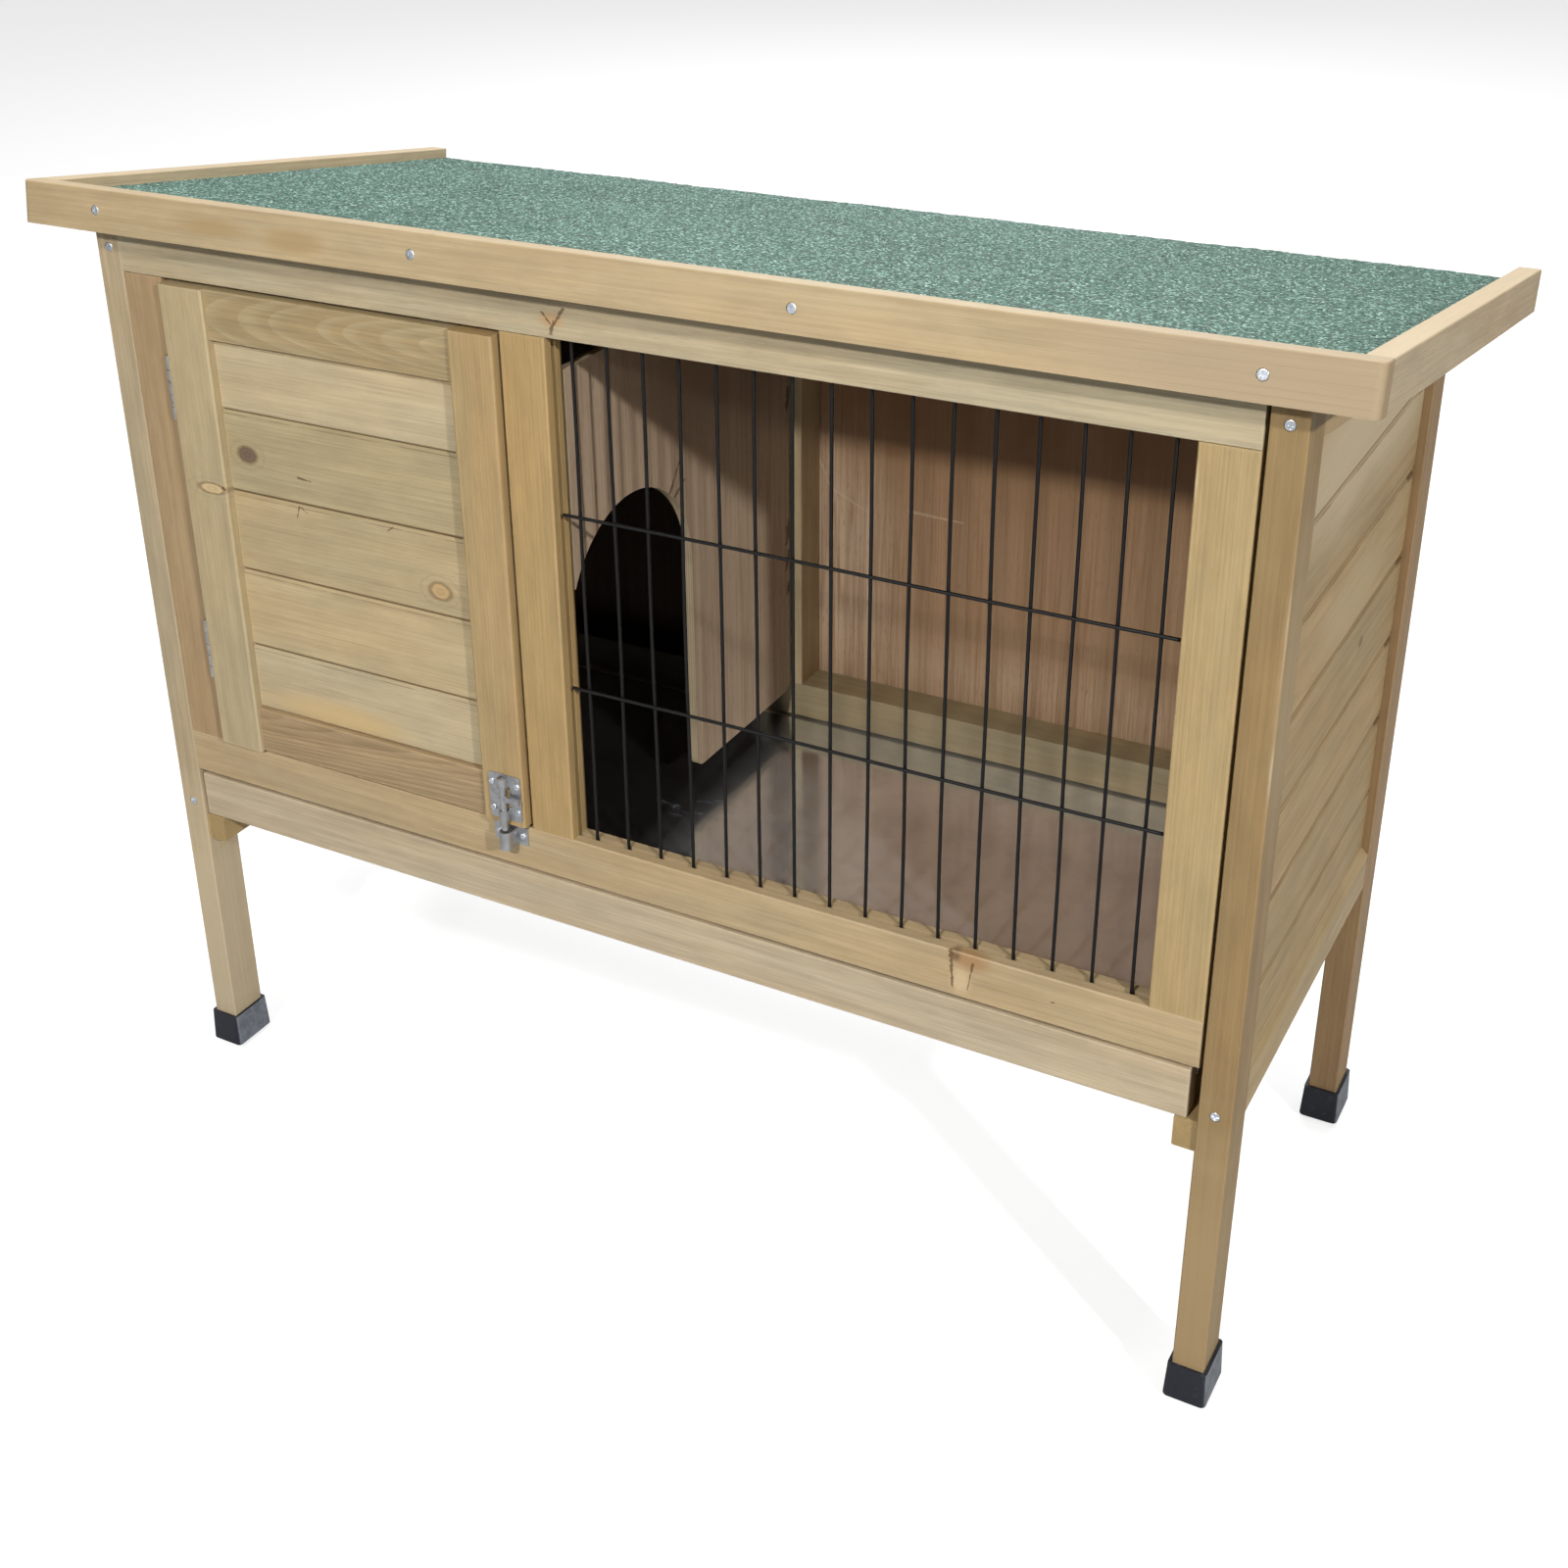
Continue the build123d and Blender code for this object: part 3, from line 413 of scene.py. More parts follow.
def stained_fir(name, members, colour, along="X", heart=(0.0, 0.03, 0.05), year=0.0028, wander=0.006,
                strength=0.13, seed=0.0, knots=(), boards=None, tilt=0.0, edge=0.35, tone_patches_and_painted_light=(), cracks=(),
                lean=(0.0, 0.0), line=(0.70, 0.62, 0.50), painted_top_light=0.0, groove=0.0, coarse=1.0, nest_shade_share=0.0):
    """Gives CAD nodes planed fir under a thin stain. Knots are (centre, radius, colour, core share).

    boards is (bottom, pitch) where one node holds several boards, which then differ from each other.
    lean tilts the heart across the grain, which arches the figure. line is the late wood's tone over
    the early wood's. tone_patches_and_painted_light are (centre, reach, colour) patches: knot marks, wear
    and tone changes, and painted light low on the front legs. cracks are (start, end, width), and groove
    is the top of a board; the dark lines at each board's joint, bevel and foot are partly stain taken up in
    the joint and partly painted shadow under the board edges. Tilt is the slope of a roof stick in degrees,
    edge how pale its worn edges are, coarse how strongly its fibres show, painted_top_light how much
    painted light from above its upward faces take, and nest_shade_share how much painted shade, nearly
    black, its face towards the nest takes inside the closed nest. A knot may end with its own stretch
    along X, Y and Z.
    """
    for member in members:
        low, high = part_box(member)
        centre = (low + high) / 2
        half = (high - low) / 2
        material, tree, shader = finish(name if len(members) == 1 else name + "_" + member)
        coordinates = node(tree, "TexCoord")
        place = coordinates.outputs["Object"]
        local = node(tree, "Mapping", {"Vector": place, "Location": tuple(-centre)}).outputs[0]
        if tilt:
            slope = (math.radians(tilt), 0.0, 0.0)
            local = node(tree, "Mapping", {"Vector": local, "Rotation": slope}).outputs[0]
        parts = axes(tree, local)
        order = grain_orders[along]
        turned = node(tree, "CombineXYZ", {i: parts[order[i]] for i in range(3)}).outputs[0]
        own_seed = seed + 3.1 * len(member) + 7.7 * members.index(member)
        tone_shift = 0.5
        if boards:
            height = axes(tree, place)[2]
            rows = sums(tree, "DIVIDE", sums(tree, "SUBTRACT", height, boards[0]), boards[1])
            row = sums(tree, "FLOOR", rows)
            board_seed = sums(tree, "ADD", row, own_seed)
            chance = node(tree, "TexWhiteNoise", {"W": board_seed}, noise_dimensions="1D")
            turned = vectors(tree, "ADD", turned, stretched(tree, chance.outputs["Color"], (3.0, 0.05, 0.05)))
            tone_shift = chance.outputs["Value"]
        along_grain = axes(tree, turned)[0]
        heart_line = node(tree, "CombineXYZ", {
            1: sums(tree, "MULTIPLY_ADD", along_grain, lean[0], heart[1]),
            2: sums(tree, "MULTIPLY_ADD", along_grain, lean[1], heart[2]),
        }).outputs[0]
        bend = 0.0
        marks = []
        for place_k, radius, core_colour, core_share, *stretch in knots:
            shape = list(stretch[0]) if stretch else [1.0, 1.0, 1.0]
            if not stretch:
                shape["XYZ".index(along)] = 0.72
            if half[order[1]] < half[order[2]]:
                shape[order[1]] = 0.0
            else:
                shape[order[2]] = 0.0
            mark = placed(tree, knot, {"Place": place, "Centre": place_k, "Shape": shape, "Radius": radius})
            marks.append((mark, core_colour, core_share))
            bend = sums(tree, "ADD", mark.outputs["Bend"], bend)
        wood = placed(tree, fir, {"Place": turned, "Heart": heart_line, "Year": year, "Wander": wander,
                                  "Seed": own_seed, "Bend": bend})
        base = np.array(colour[:3]) * stain_depth
        late = dimmed(base, line)
        warm = dimmed(base, (1.03, 0.99, 0.94))
        cool = dimmed(base, (0.97, 0.99, 0.99))
        early = blended(tree, step(tree, wood.outputs["Cloud"], 0.30, 0.70), cool, warm)
        ringed = blended(tree, times(tree, wood.outputs["Ring"], strength), early, late)
        fibre = step(tree, wood.outputs["Fibre"], 0.25, 0.75, 1.0 - 0.13 * coarse, 1.0 + 0.11 * coarse)
        mottle = speckle(tree, stretched(tree, turned, (18.0, 55.0, 55.0)), 1.0, 4.0, 0.6)
        fibre = times(tree, fibre, step(tree, mottle, 0.32, 0.68, 0.93, 1.065))
        if boards:
            fibre = times(tree, fibre, step(tree, tone_shift, 0.0, 1.0, 0.9, 1.1))
        toned = scaled(tree, ringed, fibre)
        toned = blended(tree, times(tree, wood.outputs["Fleck"], 0.42), toned, dimmed(base, 0.62))
        toned = blended(tree, times(tree, wood.outputs["Glint"], 0.40), toned, dimmed(base, 1.22))
        # Patches: knot marks, wear and tone changes, and on the front legs painted light.
        for place_f, size_f, colour_f in tone_patches_and_painted_light:
            spread = speckle(tree, stretched(tree, place, (9.0, 9.0, 60.0)), 1.0, 2.0)
            reach = sums(tree, "ADD", reach_from(tree, place, place_f, size_f), times(tree, spread, 0.5))
            toned = blended(tree, step(tree, reach, 0.55, 1.4, 0.8, 0.0), toned, colour_f)
        for mark, core_colour, core_share in marks:
            rings = blended(tree, times(tree, mark.outputs["Rays"], 0.5), core_colour,
                            dimmed(core_colour, 0.6))
            toned = blended(tree, times(tree, mark.outputs["Halo"], 0.28), toned, dimmed(base, 0.6))
            toned = blended(tree, times(tree, mark.outputs["Core"], core_share), toned, rings)
            toned = blended(tree, times(tree, mark.outputs["Rim"], 0.6), toned,
                            dimmed(base, (0.36, 0.27, 0.18)))
        if not tilt:
            near_edge = placed(tree, arris, {"Place": place, "Middle": tuple(centre),
                                             "Half": tuple(half)}).outputs[0]
            chips = speckle(tree, place, 150.0, 3.0, 0.6)
            band = sums(tree, "ADD", near_edge, times(tree, sums(tree, "SUBTRACT", chips, 0.5), 0.004))
            worn = step(tree, band, 0.0003, 0.0022, edge, 0.0)
            toned = blended(tree, worn, toned, (*np.minimum(base * (1.16, 1.17, 1.2), 0.9).tolist(), 1.0))
        facing = axes(tree, coordinates.outputs["Normal"])["XYZ".index(along)]
        end = step(tree, sums(tree, "ABSOLUTE", facing), 0.8, 0.95)
        toned = blended(tree, times(tree, end, 0.35), toned, dimmed(base, (0.80, 0.72, 0.58)))
        # Faces towards the nest, inside it, take painted shade, nearly black, standing in for the dark of the
        # closed nest.
        if nest_shade_share:
            toned = blended(tree, times(tree, painted_nest_shading(tree, coordinates), nest_shade_share), toned, dimmed(base, 0.06))
        # Upward faces are painted paler: painted light from above on the roof timber.
        if painted_top_light:
            upward = axes(tree, coordinates.outputs["Normal"])[2]
            toned = blended(tree, step(tree, upward, 0.75, 0.97, 0.0, painted_top_light), toned, shade(209, 189, 158))
        for start, end_point, width in cracks:
            depth = cracking(tree, place, start, end_point, width)
            toned = blended(tree, times(tree, depth, 0.85), toned, dimmed(base, (0.28, 0.20, 0.14)))
        # Dark lines at each board's joint, at the end of its bevel and at its foot: partly stain taken up in
        # the joint, partly painted shadow under the board edges.
        below = 0.0
        if boards:
            below = times(tree, sums(tree, "SUBTRACT", 1.0, sums(tree, "FRACT", rows)), boards[1])
        if groove:
            below = sums(tree, "SUBTRACT", groove, axes(tree, place)[2])
        if boards or groove:
            patchy = speckle(tree, stretched(tree, place, (30.0, 30.0, 30.0)), 1.0, 3.0)
            joint = step(tree, below, 0.0006, 0.0024 if boards else 0.0012, 0.92, 0.0)
            from_brow = sums(tree, "ABSOLUTE", sums(tree, "SUBTRACT", below, brow_depth))
            brow = step(tree, from_brow, 0.0002, 0.0006, 0.55, 0.0)
            brow = times(tree, brow, step(tree, patchy, 0.35, 0.6))
            foot = step(tree, below, board_foot, board_foot + 0.0013, 0.0, 0.7)
            joint_stain_and_shadow = sums(tree, "MAXIMUM", sums(tree, "MAXIMUM", joint, brow), foot)
            toned = blended(tree, joint_stain_and_shadow, toned, dimmed(base, (0.34, 0.26, 0.18)))
        tree.links.new(toned, shader.inputs["Base Color"])
        tree.links.new(step(tree, wood.outputs["Fibre"], 0.3, 0.7, 0.62, 0.47), shader.inputs["Roughness"])
        relief = sums(tree, "ADD", times(tree, wood.outputs["Fibre"], 0.7),
                      times(tree, wood.outputs["Ring"], 0.3))
        raised(tree, shader, relief, 0.35, 0.0006)
        shader.inputs["Specular IOR Level"].default_value = 0.35
        dress([member], material)


# The first, lighter patch low on each front leg is painted light on the lower leg.
stained_fir("left_post_fir", ["front_left_post"], shade(182, 164, 134), "Z", (0.0, 0.10, 0.04), seed=2.0,
            coarse=1.6, tone_patches_and_painted_light=(((-0.406, -0.215, 0.12), (0.10, 0.10, 0.16), shade(196, 179, 148)),))
stained_fir("right_post_fir", ["front_right_post"], shade(153, 128, 88), "Z", (0.0, 0.02, 0.06), seed=5.0,
            strength=0.12, tone_patches_and_painted_light=(((0.406, -0.215, 0.09), (0.10, 0.10, 0.15), shade(165, 141, 104)),
                                   ((0.416, -0.186, 0.52), (0.004, 0.03, 0.12), shade(165, 143, 108)),
                                   ((0.4158, -0.2018, 0.468), (0.0013, 0.0013, 0.020), shade(186, 171, 144)),
                                   ((0.4158, -0.2018, 0.552), (0.0011, 0.0011, 0.030), shade(182, 162, 128))))
stained_fir("back_post_fir", ["back_left_post", "back_right_post"], shade(163, 134, 97), "Z",
            (0.0, 0.05, 0.03), seed=9.0)

# -------------------- front frame
# Rails run the full width between the posts, stiles stand between the rails. Planed fir, stained.
# The top rail and the foot rail each show one torn knot, and the outer stile is browner sapwood.
stained_fir("top_rail_fir", ["front_top_rail"], shade(183, 170, 142), "X", (0.0, 0.06, 0.02), seed=3.0,
            year=0.0035, coarse=1.6, lean=(0.02, 0.03),
            cracks=(((-0.0492, -0.202, 0.6684), (-0.0415, -0.202, 0.6600), 0.0010),
                    ((-0.0334, -0.202, 0.6716), (-0.0415, -0.202, 0.6600), 0.0014),
                    ((-0.0430, -0.202, 0.6560), (-0.0405, -0.202, 0.6640), 0.0016)),
            tone_patches_and_painted_light=(((-0.042, -0.202, 0.664), (0.012, 0.01, 0.006), shade(176, 142, 100)),))
stained_fir("foot_rail_fir", ["front_bottom_rail"], shade(187, 165, 129), "X", (0.0, 0.08, 0.012), seed=11.0,
            lean=(0.0, 0.02), coarse=1.3,
            tone_patches_and_painted_light=(((0.245, -0.202, 0.295), (0.016, 0.01, 0.013), shade(160, 122, 82)),
                    ((0.2350, -0.202, 0.2935), (0.0045, 0.01, 0.0055), shade(104, 76, 52)),
                    ((0.2560, -0.202, 0.3010), (0.0065, 0.01, 0.0035), shade(98, 72, 50)),
                    ((0.2390, -0.202, 0.2745), (0.0085, 0.01, 0.0115), shade(202, 178, 142))),
            cracks=(((0.2320, -0.202, 0.2960), (0.2340, -0.202, 0.2680), 0.0016),
                    ((0.2600, -0.202, 0.3035), (0.2450, -0.202, 0.2990), 0.0018),
                    ((0.2470, -0.202, 0.2900), (0.2440, -0.202, 0.2700), 0.0009),
                    ((0.020, -0.2015, 0.3045), (0.085, -0.2015, 0.3050), 0.0007),
                    ((0.300, -0.202, 0.2790), (0.3015, -0.202, 0.2795), 0.0009)))
stained_fir("outer_stile_fir", ["front_left_stile"], shade(173, 147, 112), "Z", (0.0, 0.012, 0.02), seed=6.0,
            wander=0.012, strength=0.16)
stained_fir("middle_stile_fir", ["front_mid_stile"], shade(178, 151, 105), "Z", (0.0, 0.09, 0.02), seed=7.0)
stained_fir("right_stile_fir", ["front_right_stile"], shade(180, 157, 114), "Z", (0.0, 0.07, 0.015), seed=8.0,
            strength=0.2, tone_patches_and_painted_light=(((0.3595, -0.2045, 0.631), (0.0022, 0.004, 0.016), shade(222, 204, 172)),))

# -------------------- sides
# Seven horizontal matchboards a side, cut to the roof's slope at the top, between the posts, with a
# bevelled rail at the foot and a sloping rail inside at the head.
board_pitch = 0.060
board_start = 0.2354
stained_fir("side_board_fir", ["left_side_boards", "right_side_boards"], shade(179, 153, 110), "Y",
            (0.0, 0.004, 0.02), seed=4.0, boards=(board_start, board_pitch), strength=0.14, edge=0.0,
            coarse=1.3,
            tone_patches_and_painted_light=(((0.41, 0.02, 0.615), (0.05, 0.30, 0.065), shade(201, 184, 152)),
                    ((0.41, -0.02, 0.50), (0.05, 0.10, 0.03), shade(184, 162, 124))),
            nest_shade_share=0.9, knots=(((0.410, 0.0216, 0.4523), 0.0032, shade(126, 96, 66), 0.8),),
            cracks=[((0.410, 0.1180, board_start + row * board_pitch - 0.001),
                     (0.410, 0.1060, board_start + row * board_pitch - 0.003), 0.0046)
                    for row in range(2, 7)])
stained_fir("side_rail_fir", ["left_bottom_rail", "right_bottom_rail"], shade(184, 161, 122), "Y",
            (0.0, 0.03, 0.05), seed=12.0)
stained_fir("side_top_rail_fir", ["left_top_rail", "right_top_rail"], shade(176, 154, 116), "Y",
            (0.0, 0.03, 0.05), seed=13.0, edge=0.0)

# -------------------- back rails and batten
# A stout rail closes the back of the tray's slot, another holds the roof, and a thin batten carries
# the back edge of the nest wall.
stained_fir("back_rail_fir", ["back_bottom_rail", "back_top_rail"], shade(162, 146, 114), "X",
            (0.0, 0.05, 0.03), seed=14.0, nest_shade_share=0.9)
stained_fir("batten_fir", ["back_batten"], shade(190, 170, 134), "Z", (0.0, 0.04, 0.02), seed=15.0)

# -------------------- roof timber
# The fascia and two side trims are planed battens standing 7 mm proud of the felt; the fascia laps
# the ends of the trims. The deck between them is thin plywood.
roof_pitch = 8.6
stained_fir("fascia_fir", ["roof_fascia"], shade(182, 162, 128), "X", (0.0, 0.03, 0.035), seed=16.0,
            year=0.004, wander=0.01, edge=0.0, tilt=roof_pitch, strength=0.10, painted_top_light=0.35,
            lean=(0.01, 0.0),
            tone_patches_and_painted_light=(((-0.287, -0.224, 0.700), (0.035, 0.02, 0.008), shade(160, 136, 98)),
                    ((-0.218, -0.224, 0.698), (0.030, 0.02, 0.010), shade(160, 136, 98)),
                    ((0.41, -0.224, 0.70), (0.15, 0.05, 0.05), shade(158, 140, 114))))
stained_fir("trim_fir", ["roof_left_trim", "roof_right_trim"], shade(195, 176, 146), "Y", (0.0, 0.03, 0.03),
            seed=17.0, edge=0.0, tilt=roof_pitch, painted_top_light=0.6,
            cracks=(((0.4541, 0.101, 0.6372), (0.4541, 0.1018, 0.6384), 0.0016),))

# -------------------- door timber
# Two stiles and two rails, with five matchboards set back between them. The rails come from browner,
# strongly figured wood. One board has a dead knot, one a ringed knot, and the lowest a pale flame.
door_board_tops = [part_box("door_board_%d" % row)[1].z for row in range(1, 6)]
stained_fir("hinge_stile_fir", ["door_hinge_stile"], shade(184, 168, 134), "Z", (0.0, 0.06, 0.03), seed=18.0,
            knots=(((-0.3340, -0.208, 0.5060), 0.0052, shade(206, 180, 136), 0.85, (0.44, 0.0, 1.35)),),
            cracks=(((-0.3235, -0.208, 0.5075), (-0.3215, -0.208, 0.5065), 0.0016),))
stained_fir("latch_stile_fir", ["door_latch_stile"], shade(177, 152, 110), "Z", (0.0, 0.08, 0.02), seed=19.0)
stained_fir("door_head_fir", ["door_top_rail"], shade(166, 148, 112), "X", (0.0, 0.014, 0.002), seed=20.0,
            year=0.0036, wander=0.010, strength=0.95, lean=(-0.12, 0.02), line=(1.16, 1.18, 1.22), coarse=1.8)
stained_fir("door_foot_fir", ["door_bottom_rail"], shade(172, 149, 115), "X", (0.0, 0.010, 0.018), seed=21.0,
            year=0.0030, wander=0.010, strength=0.75, lean=(0.05, 0.03), line=(0.76, 0.71, 0.64), coarse=1.8)
stained_fir("door_board_5_fir", ["door_board_5"], shade(194, 178, 146), "X", (0.0, 0.01, 0.20), seed=22.0,
            strength=0.08, groove=door_board_tops[4], coarse=1.15)
stained_fir("door_board_4_fir", ["door_board_4"], shade(178, 164, 130), "X", (0.0, 0.02, 0.10), seed=23.0,
            strength=0.12, groove=door_board_tops[3], coarse=1.15, lean=(0.02, 0.0),
            knots=(((-0.3035, -0.201, 0.5335), 0.0058, shade(112, 90, 76), 0.95),),
            cracks=(((-0.2600, -0.201, 0.5240), (-0.2490, -0.201, 0.5232), 0.0009),))
stained_fir("door_board_3_fir", ["door_board_3"], shade(186, 168, 132), "X", (0.0, 0.02, 0.12), seed=24.0,
            strength=0.14, groove=door_board_tops[2], coarse=1.15, lean=(0.03, 0.0),
            knots=(((-0.1455, -0.201, 0.4625), 0.0062, shade(190, 158, 112), 0.8),),
            cracks=(((-0.2617, -0.201, 0.5030), (-0.2650, -0.201, 0.4930), 0.0008),
                    ((-0.2617, -0.201, 0.5030), (-0.2550, -0.201, 0.4990), 0.0006),
                    ((-0.1860, -0.201, 0.4990), (-0.1786, -0.201, 0.5040), 0.0007)))
stained_fir("door_board_2_fir", ["door_board_2"], shade(192, 173, 136), "X", (0.0, 0.02, 0.22), seed=25.0,
            strength=0.07, groove=door_board_tops[1], coarse=1.15)
stained_fir("door_board_1_fir", ["door_board_1"], shade(193, 177, 145), "X", (0.0, 0.02, 0.18), seed=26.0,
            strength=0.08, groove=door_board_tops[0], coarse=1.15,
            tone_patches_and_painted_light=(((-0.245, -0.2, 0.343), (0.075, 0.05, 0.013), shade(196, 170, 122)),))

# -------------------- tray front, slides and runners
# The tray slides on two battens; its front is a planed stick like the rails above it.
stained_fir("tray_front_fir", ["drawer_front"], shade(196, 180, 153), "X", (0.0, 0.05, 0.02), seed=27.0,
            year=0.003, coarse=1.7)
stained_fir("runner_fir", ["left_tray_runner", "right_tray_runner", "tray_slides"], shade(178, 154, 110), "Y",
            (0.0, 0.006, 0.004), seed=28.0, year=0.0022, strength=0.4)

# -------------------- nest wall and back
# Thin unfinished plywood with a reddish face veneer, its grain upright. The back is one sheet; the
# nest wall has a round-topped doorway cut in it with a jigsaw, which left the edge pale and furred.

plies_per_metre = 1000.0


def plywood(name, member, colour, seed, edge, patches=(), marks=()):
    """Gives a CAD node bare plywood: upright bands, fine short pores and scuffs, pale at its edges.

    Patches are (centre, reach, colour) patches of painted shade and painted light, laid where shadows and
    light fall; marks are (start, end, width, colour). Faces towards the nest, inside it, take painted shade,
    nearly black.
    """
    material, tree, shader = finish(name)
    coordinates = node(tree, "TexCoord")
    own_place = coordinates.outputs["Object"]
    place = node(tree, "Mapping", {"Vector": own_place, "Location": (seed, seed, seed)}).outputs[0]
    bands = speckle(tree, stretched(tree, place, (26.0, 26.0, 1.3)), 1.0, 3.0, 0.6)
    streaks = speckle(tree, stretched(tree, place, (420.0, 420.0, 7.0)), 1.0, 3.0, 0.65)
    pores = speckle(tree, stretched(tree, place, (1500.0, 1500.0, 90.0)), 1.0, 1.0)
    base = np.array(colour[:3])
    for centre_p, reach_p, colour_p in patches:
        far = reach_from(tree, own_place, centre_p, reach_p)
        colour = blended(tree, step(tree, far, 0.5, 1.3, 0.85, 0.0), colour, colour_p)
    light = dimmed(base, 1.16)
    deep = dimmed(base, (0.70, 0.62, 0.54))
    toned = blended(tree, step(tree, bands, 0.35, 0.60, 0.35, 0.0), colour, light)
    figure = sums(tree, "PINGPONG", times(tree, bands, 14.0), 1.0)
    toned = blended(tree, step(tree, figure, 0.70, 1.0, 0.0, 0.40), toned, dimmed(base, (0.78, 0.70, 0.62)))
    toned = blended(tree, step(tree, streaks, 0.42, 0.72, 0.0, 0.75), toned, deep)
    toned = blended(tree, step(tree, pores, 0.60, 0.72, 0.0, 0.75), toned, deep)
    scratch_path = vectors(tree, "ADD", stretched(tree, place, (2.0, 2.0, 3.5)),
                           vectors(tree, "SCALE", speckle(tree, place, 3.0, 2.0, 0.5, "Color")))
    scratch = speckle(tree, scratch_path, 1.3, 0.0)
    line = sums(tree, "ABSOLUTE", sums(tree, "SUBTRACT", scratch, 0.5))
    patch = step(tree, speckle(tree, place, 9.0, 1.0), 0.55, 0.66)
    toned = blended(tree, times(tree, step(tree, line, 0.0, 0.0018, 0.35, 0.0), patch), toned, light)
    facing = axes(tree, coordinates.outputs["Normal"])
    thin = facing[0] if member == "partition" else facing[1]
    rim = step(tree, sums(tree, "ABSOLUTE", thin), 0.3, 0.7, edge, 0.0)
    through = sums(tree, "PINGPONG", times(tree, axes(tree, place)[0], plies_per_metre), 1.0)
    plies = step(tree, through, 0.3, 0.7, 0.75, 1.0)
    pale = scaled(tree, (0.46, 0.37, 0.24), plies)
    toned = blended(tree, rim, toned, pale)
    for start, end_point, width, mark_colour in marks:
        depth = cracking(tree, own_place, start, end_point, width)
        toned = blended(tree, times(tree, depth, 0.7), toned, mark_colour)
    # Faces towards the nest, inside it, take painted shade, nearly black, standing in for the dark of the
    # closed nest.
    toned = blended(tree, times(tree, painted_nest_shading(tree, coordinates), 0.9), toned, dimmed(base, 0.05))
    tree.links.new(toned, shader.inputs["Base Color"])
    shader.inputs["Roughness"].default_value = 0.62
    shader.inputs["Specular IOR Level"].default_value = 0.3
    relief = sums(tree, "ADD", streaks, times(tree, pores, 0.6))
    raised(tree, shader, relief, 0.3, 0.0005)
    dress([member], material)


fur = shade(58, 40, 30)
scuff_tone = shade(196, 170, 142)
# The darker patch high on the nest wall is painted shadow of the front top rail.
plywood("nest_wall_ply", "partition", shade(165, 146, 125), 3.0, 0.9,
        patches=(((-0.05, 0.03, 0.62), (0.1, 0.16, 0.11), shade(136, 114, 94)),),
        marks=(((-0.0488, 0.1155, 0.412), (-0.0488, 0.1110, 0.398), 0.0050, fur),
               ((-0.0488, 0.1155, 0.388), (-0.0488, 0.1105, 0.376), 0.0042, fur),
               ((-0.0488, 0.1155, 0.362), (-0.0488, 0.1120, 0.354), 0.0036, fur),
               ((-0.0488, 0.1155, 0.522), (-0.0488, 0.1115, 0.508), 0.0045, fur),
               ((-0.0488, -0.0600, 0.5010), (-0.0488, -0.0470, 0.5190), 0.0020, fur),
               ((-0.0488, -0.0540, 0.4960), (-0.0488, -0.0400, 0.5040), 0.0016, fur)))
# On the back, the dark patch high up is painted shadow of the front top rail, and the two lighter patches low
# down are painted light where light falls on the lower wall.
plywood("back_ply", "back_panel", shade(166, 134, 102), 8.0, 0.6,
        patches=(((-0.030, 0.178, 0.36), (0.060, 0.1, 0.16), shade(200, 176, 150)),
                 ((0.14, 0.178, 0.58), (0.34, 0.1, 0.14), shade(132, 95, 60)),
                 ((0.16, 0.152, 0.27), (0.30, 0.1, 0.05), shade(186, 158, 130))),
        marks=(((-0.0446, 0.152, 0.4633), (-0.0308, 0.152, 0.4330), 0.0013, scuff_tone),
               ((-0.0308, 0.152, 0.4330), (0.0069, 0.152, 0.4159), 0.0013, scuff_tone),
               ((0.0368, 0.152, 0.4254), (0.0818, 0.152, 0.4240), 0.0014, scuff_tone)))
plywood("deck_ply", "roof_board", shade(150, 122, 92), 5.0, 0.6)

# -------------------- roof felt
# Bitumen felt with green mineral granules, laid between the trims and turned down over the back
# edge of the deck. It lies a little uneven, and the granules stand up singly. Its top is a grid along
# and down the roof, lifted by products of sines and a random grit; its underside is the same grid, plain.


def solid_between(name, upper, lower):
    """Closed piece between two grids of points of one shape, walled round their edges."""
    rows, columns = upper.shape[:2]
    points = np.concatenate((upper.reshape(-1, 3), lower.reshape(-1, 3)))
    index = np.arange(rows * columns).reshape(rows, columns)
    quads = np.stack((index[:-1, :-1], index[:-1, 1:], index[1:, 1:], index[1:, :-1]), axis=-1).reshape(-1, 4)
    under = quads[:, ::-1] + rows * columns
    rim = np.concatenate((index[0, :], index[1:, -1], index[-1, -2::-1], index[-2:0:-1, 0]))
    after = np.roll(rim, -1)
    wall = np.stack((rim, rim + rows * columns, after + rows * columns, after), axis=-1)
    faces = np.concatenate((quads, under, wall))
    mesh = bpy.data.meshes.new(name)
    mesh.from_pydata(points.tolist(), [], faces.tolist())
    mesh.validate()
    made = bpy.data.objects.new(name, mesh)
    scene.collection.objects.link(made)
    return made


felt_low, felt_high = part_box("roof_felt")
felt_thickness = 0.0025
turn_down = 0.0145
pitch = math.radians(roof_pitch)
side_gap = 0.0002
felt_points = np.array([v.co for v in nodes["roof_felt"].data.vertices])
down_slope = np.array((0.0, math.cos(pitch), -math.sin(pitch)))
off_slope = np.array((0.0, math.sin(pitch), math.cos(pitch)))
along_roof = felt_points @ down_slope
above_roof = felt_points @ off_slope
roof_start, roof_end = along_roof.min(), along_roof.max()
roof_top = above_roof.max()
columns, rows = 330, 150
across = np.linspace(felt_low.x + side_gap, felt_high.x - side_gap, columns)
deck_run = roof_end - roof_start
down = np.linspace(0.0, deck_run + turn_down, rows)
flat = np.minimum(down, deck_run)
drop = np.maximum(down - deck_run, 0.0)
shuffle = np.random.default_rng(41)
grit = shuffle.random((rows, columns))
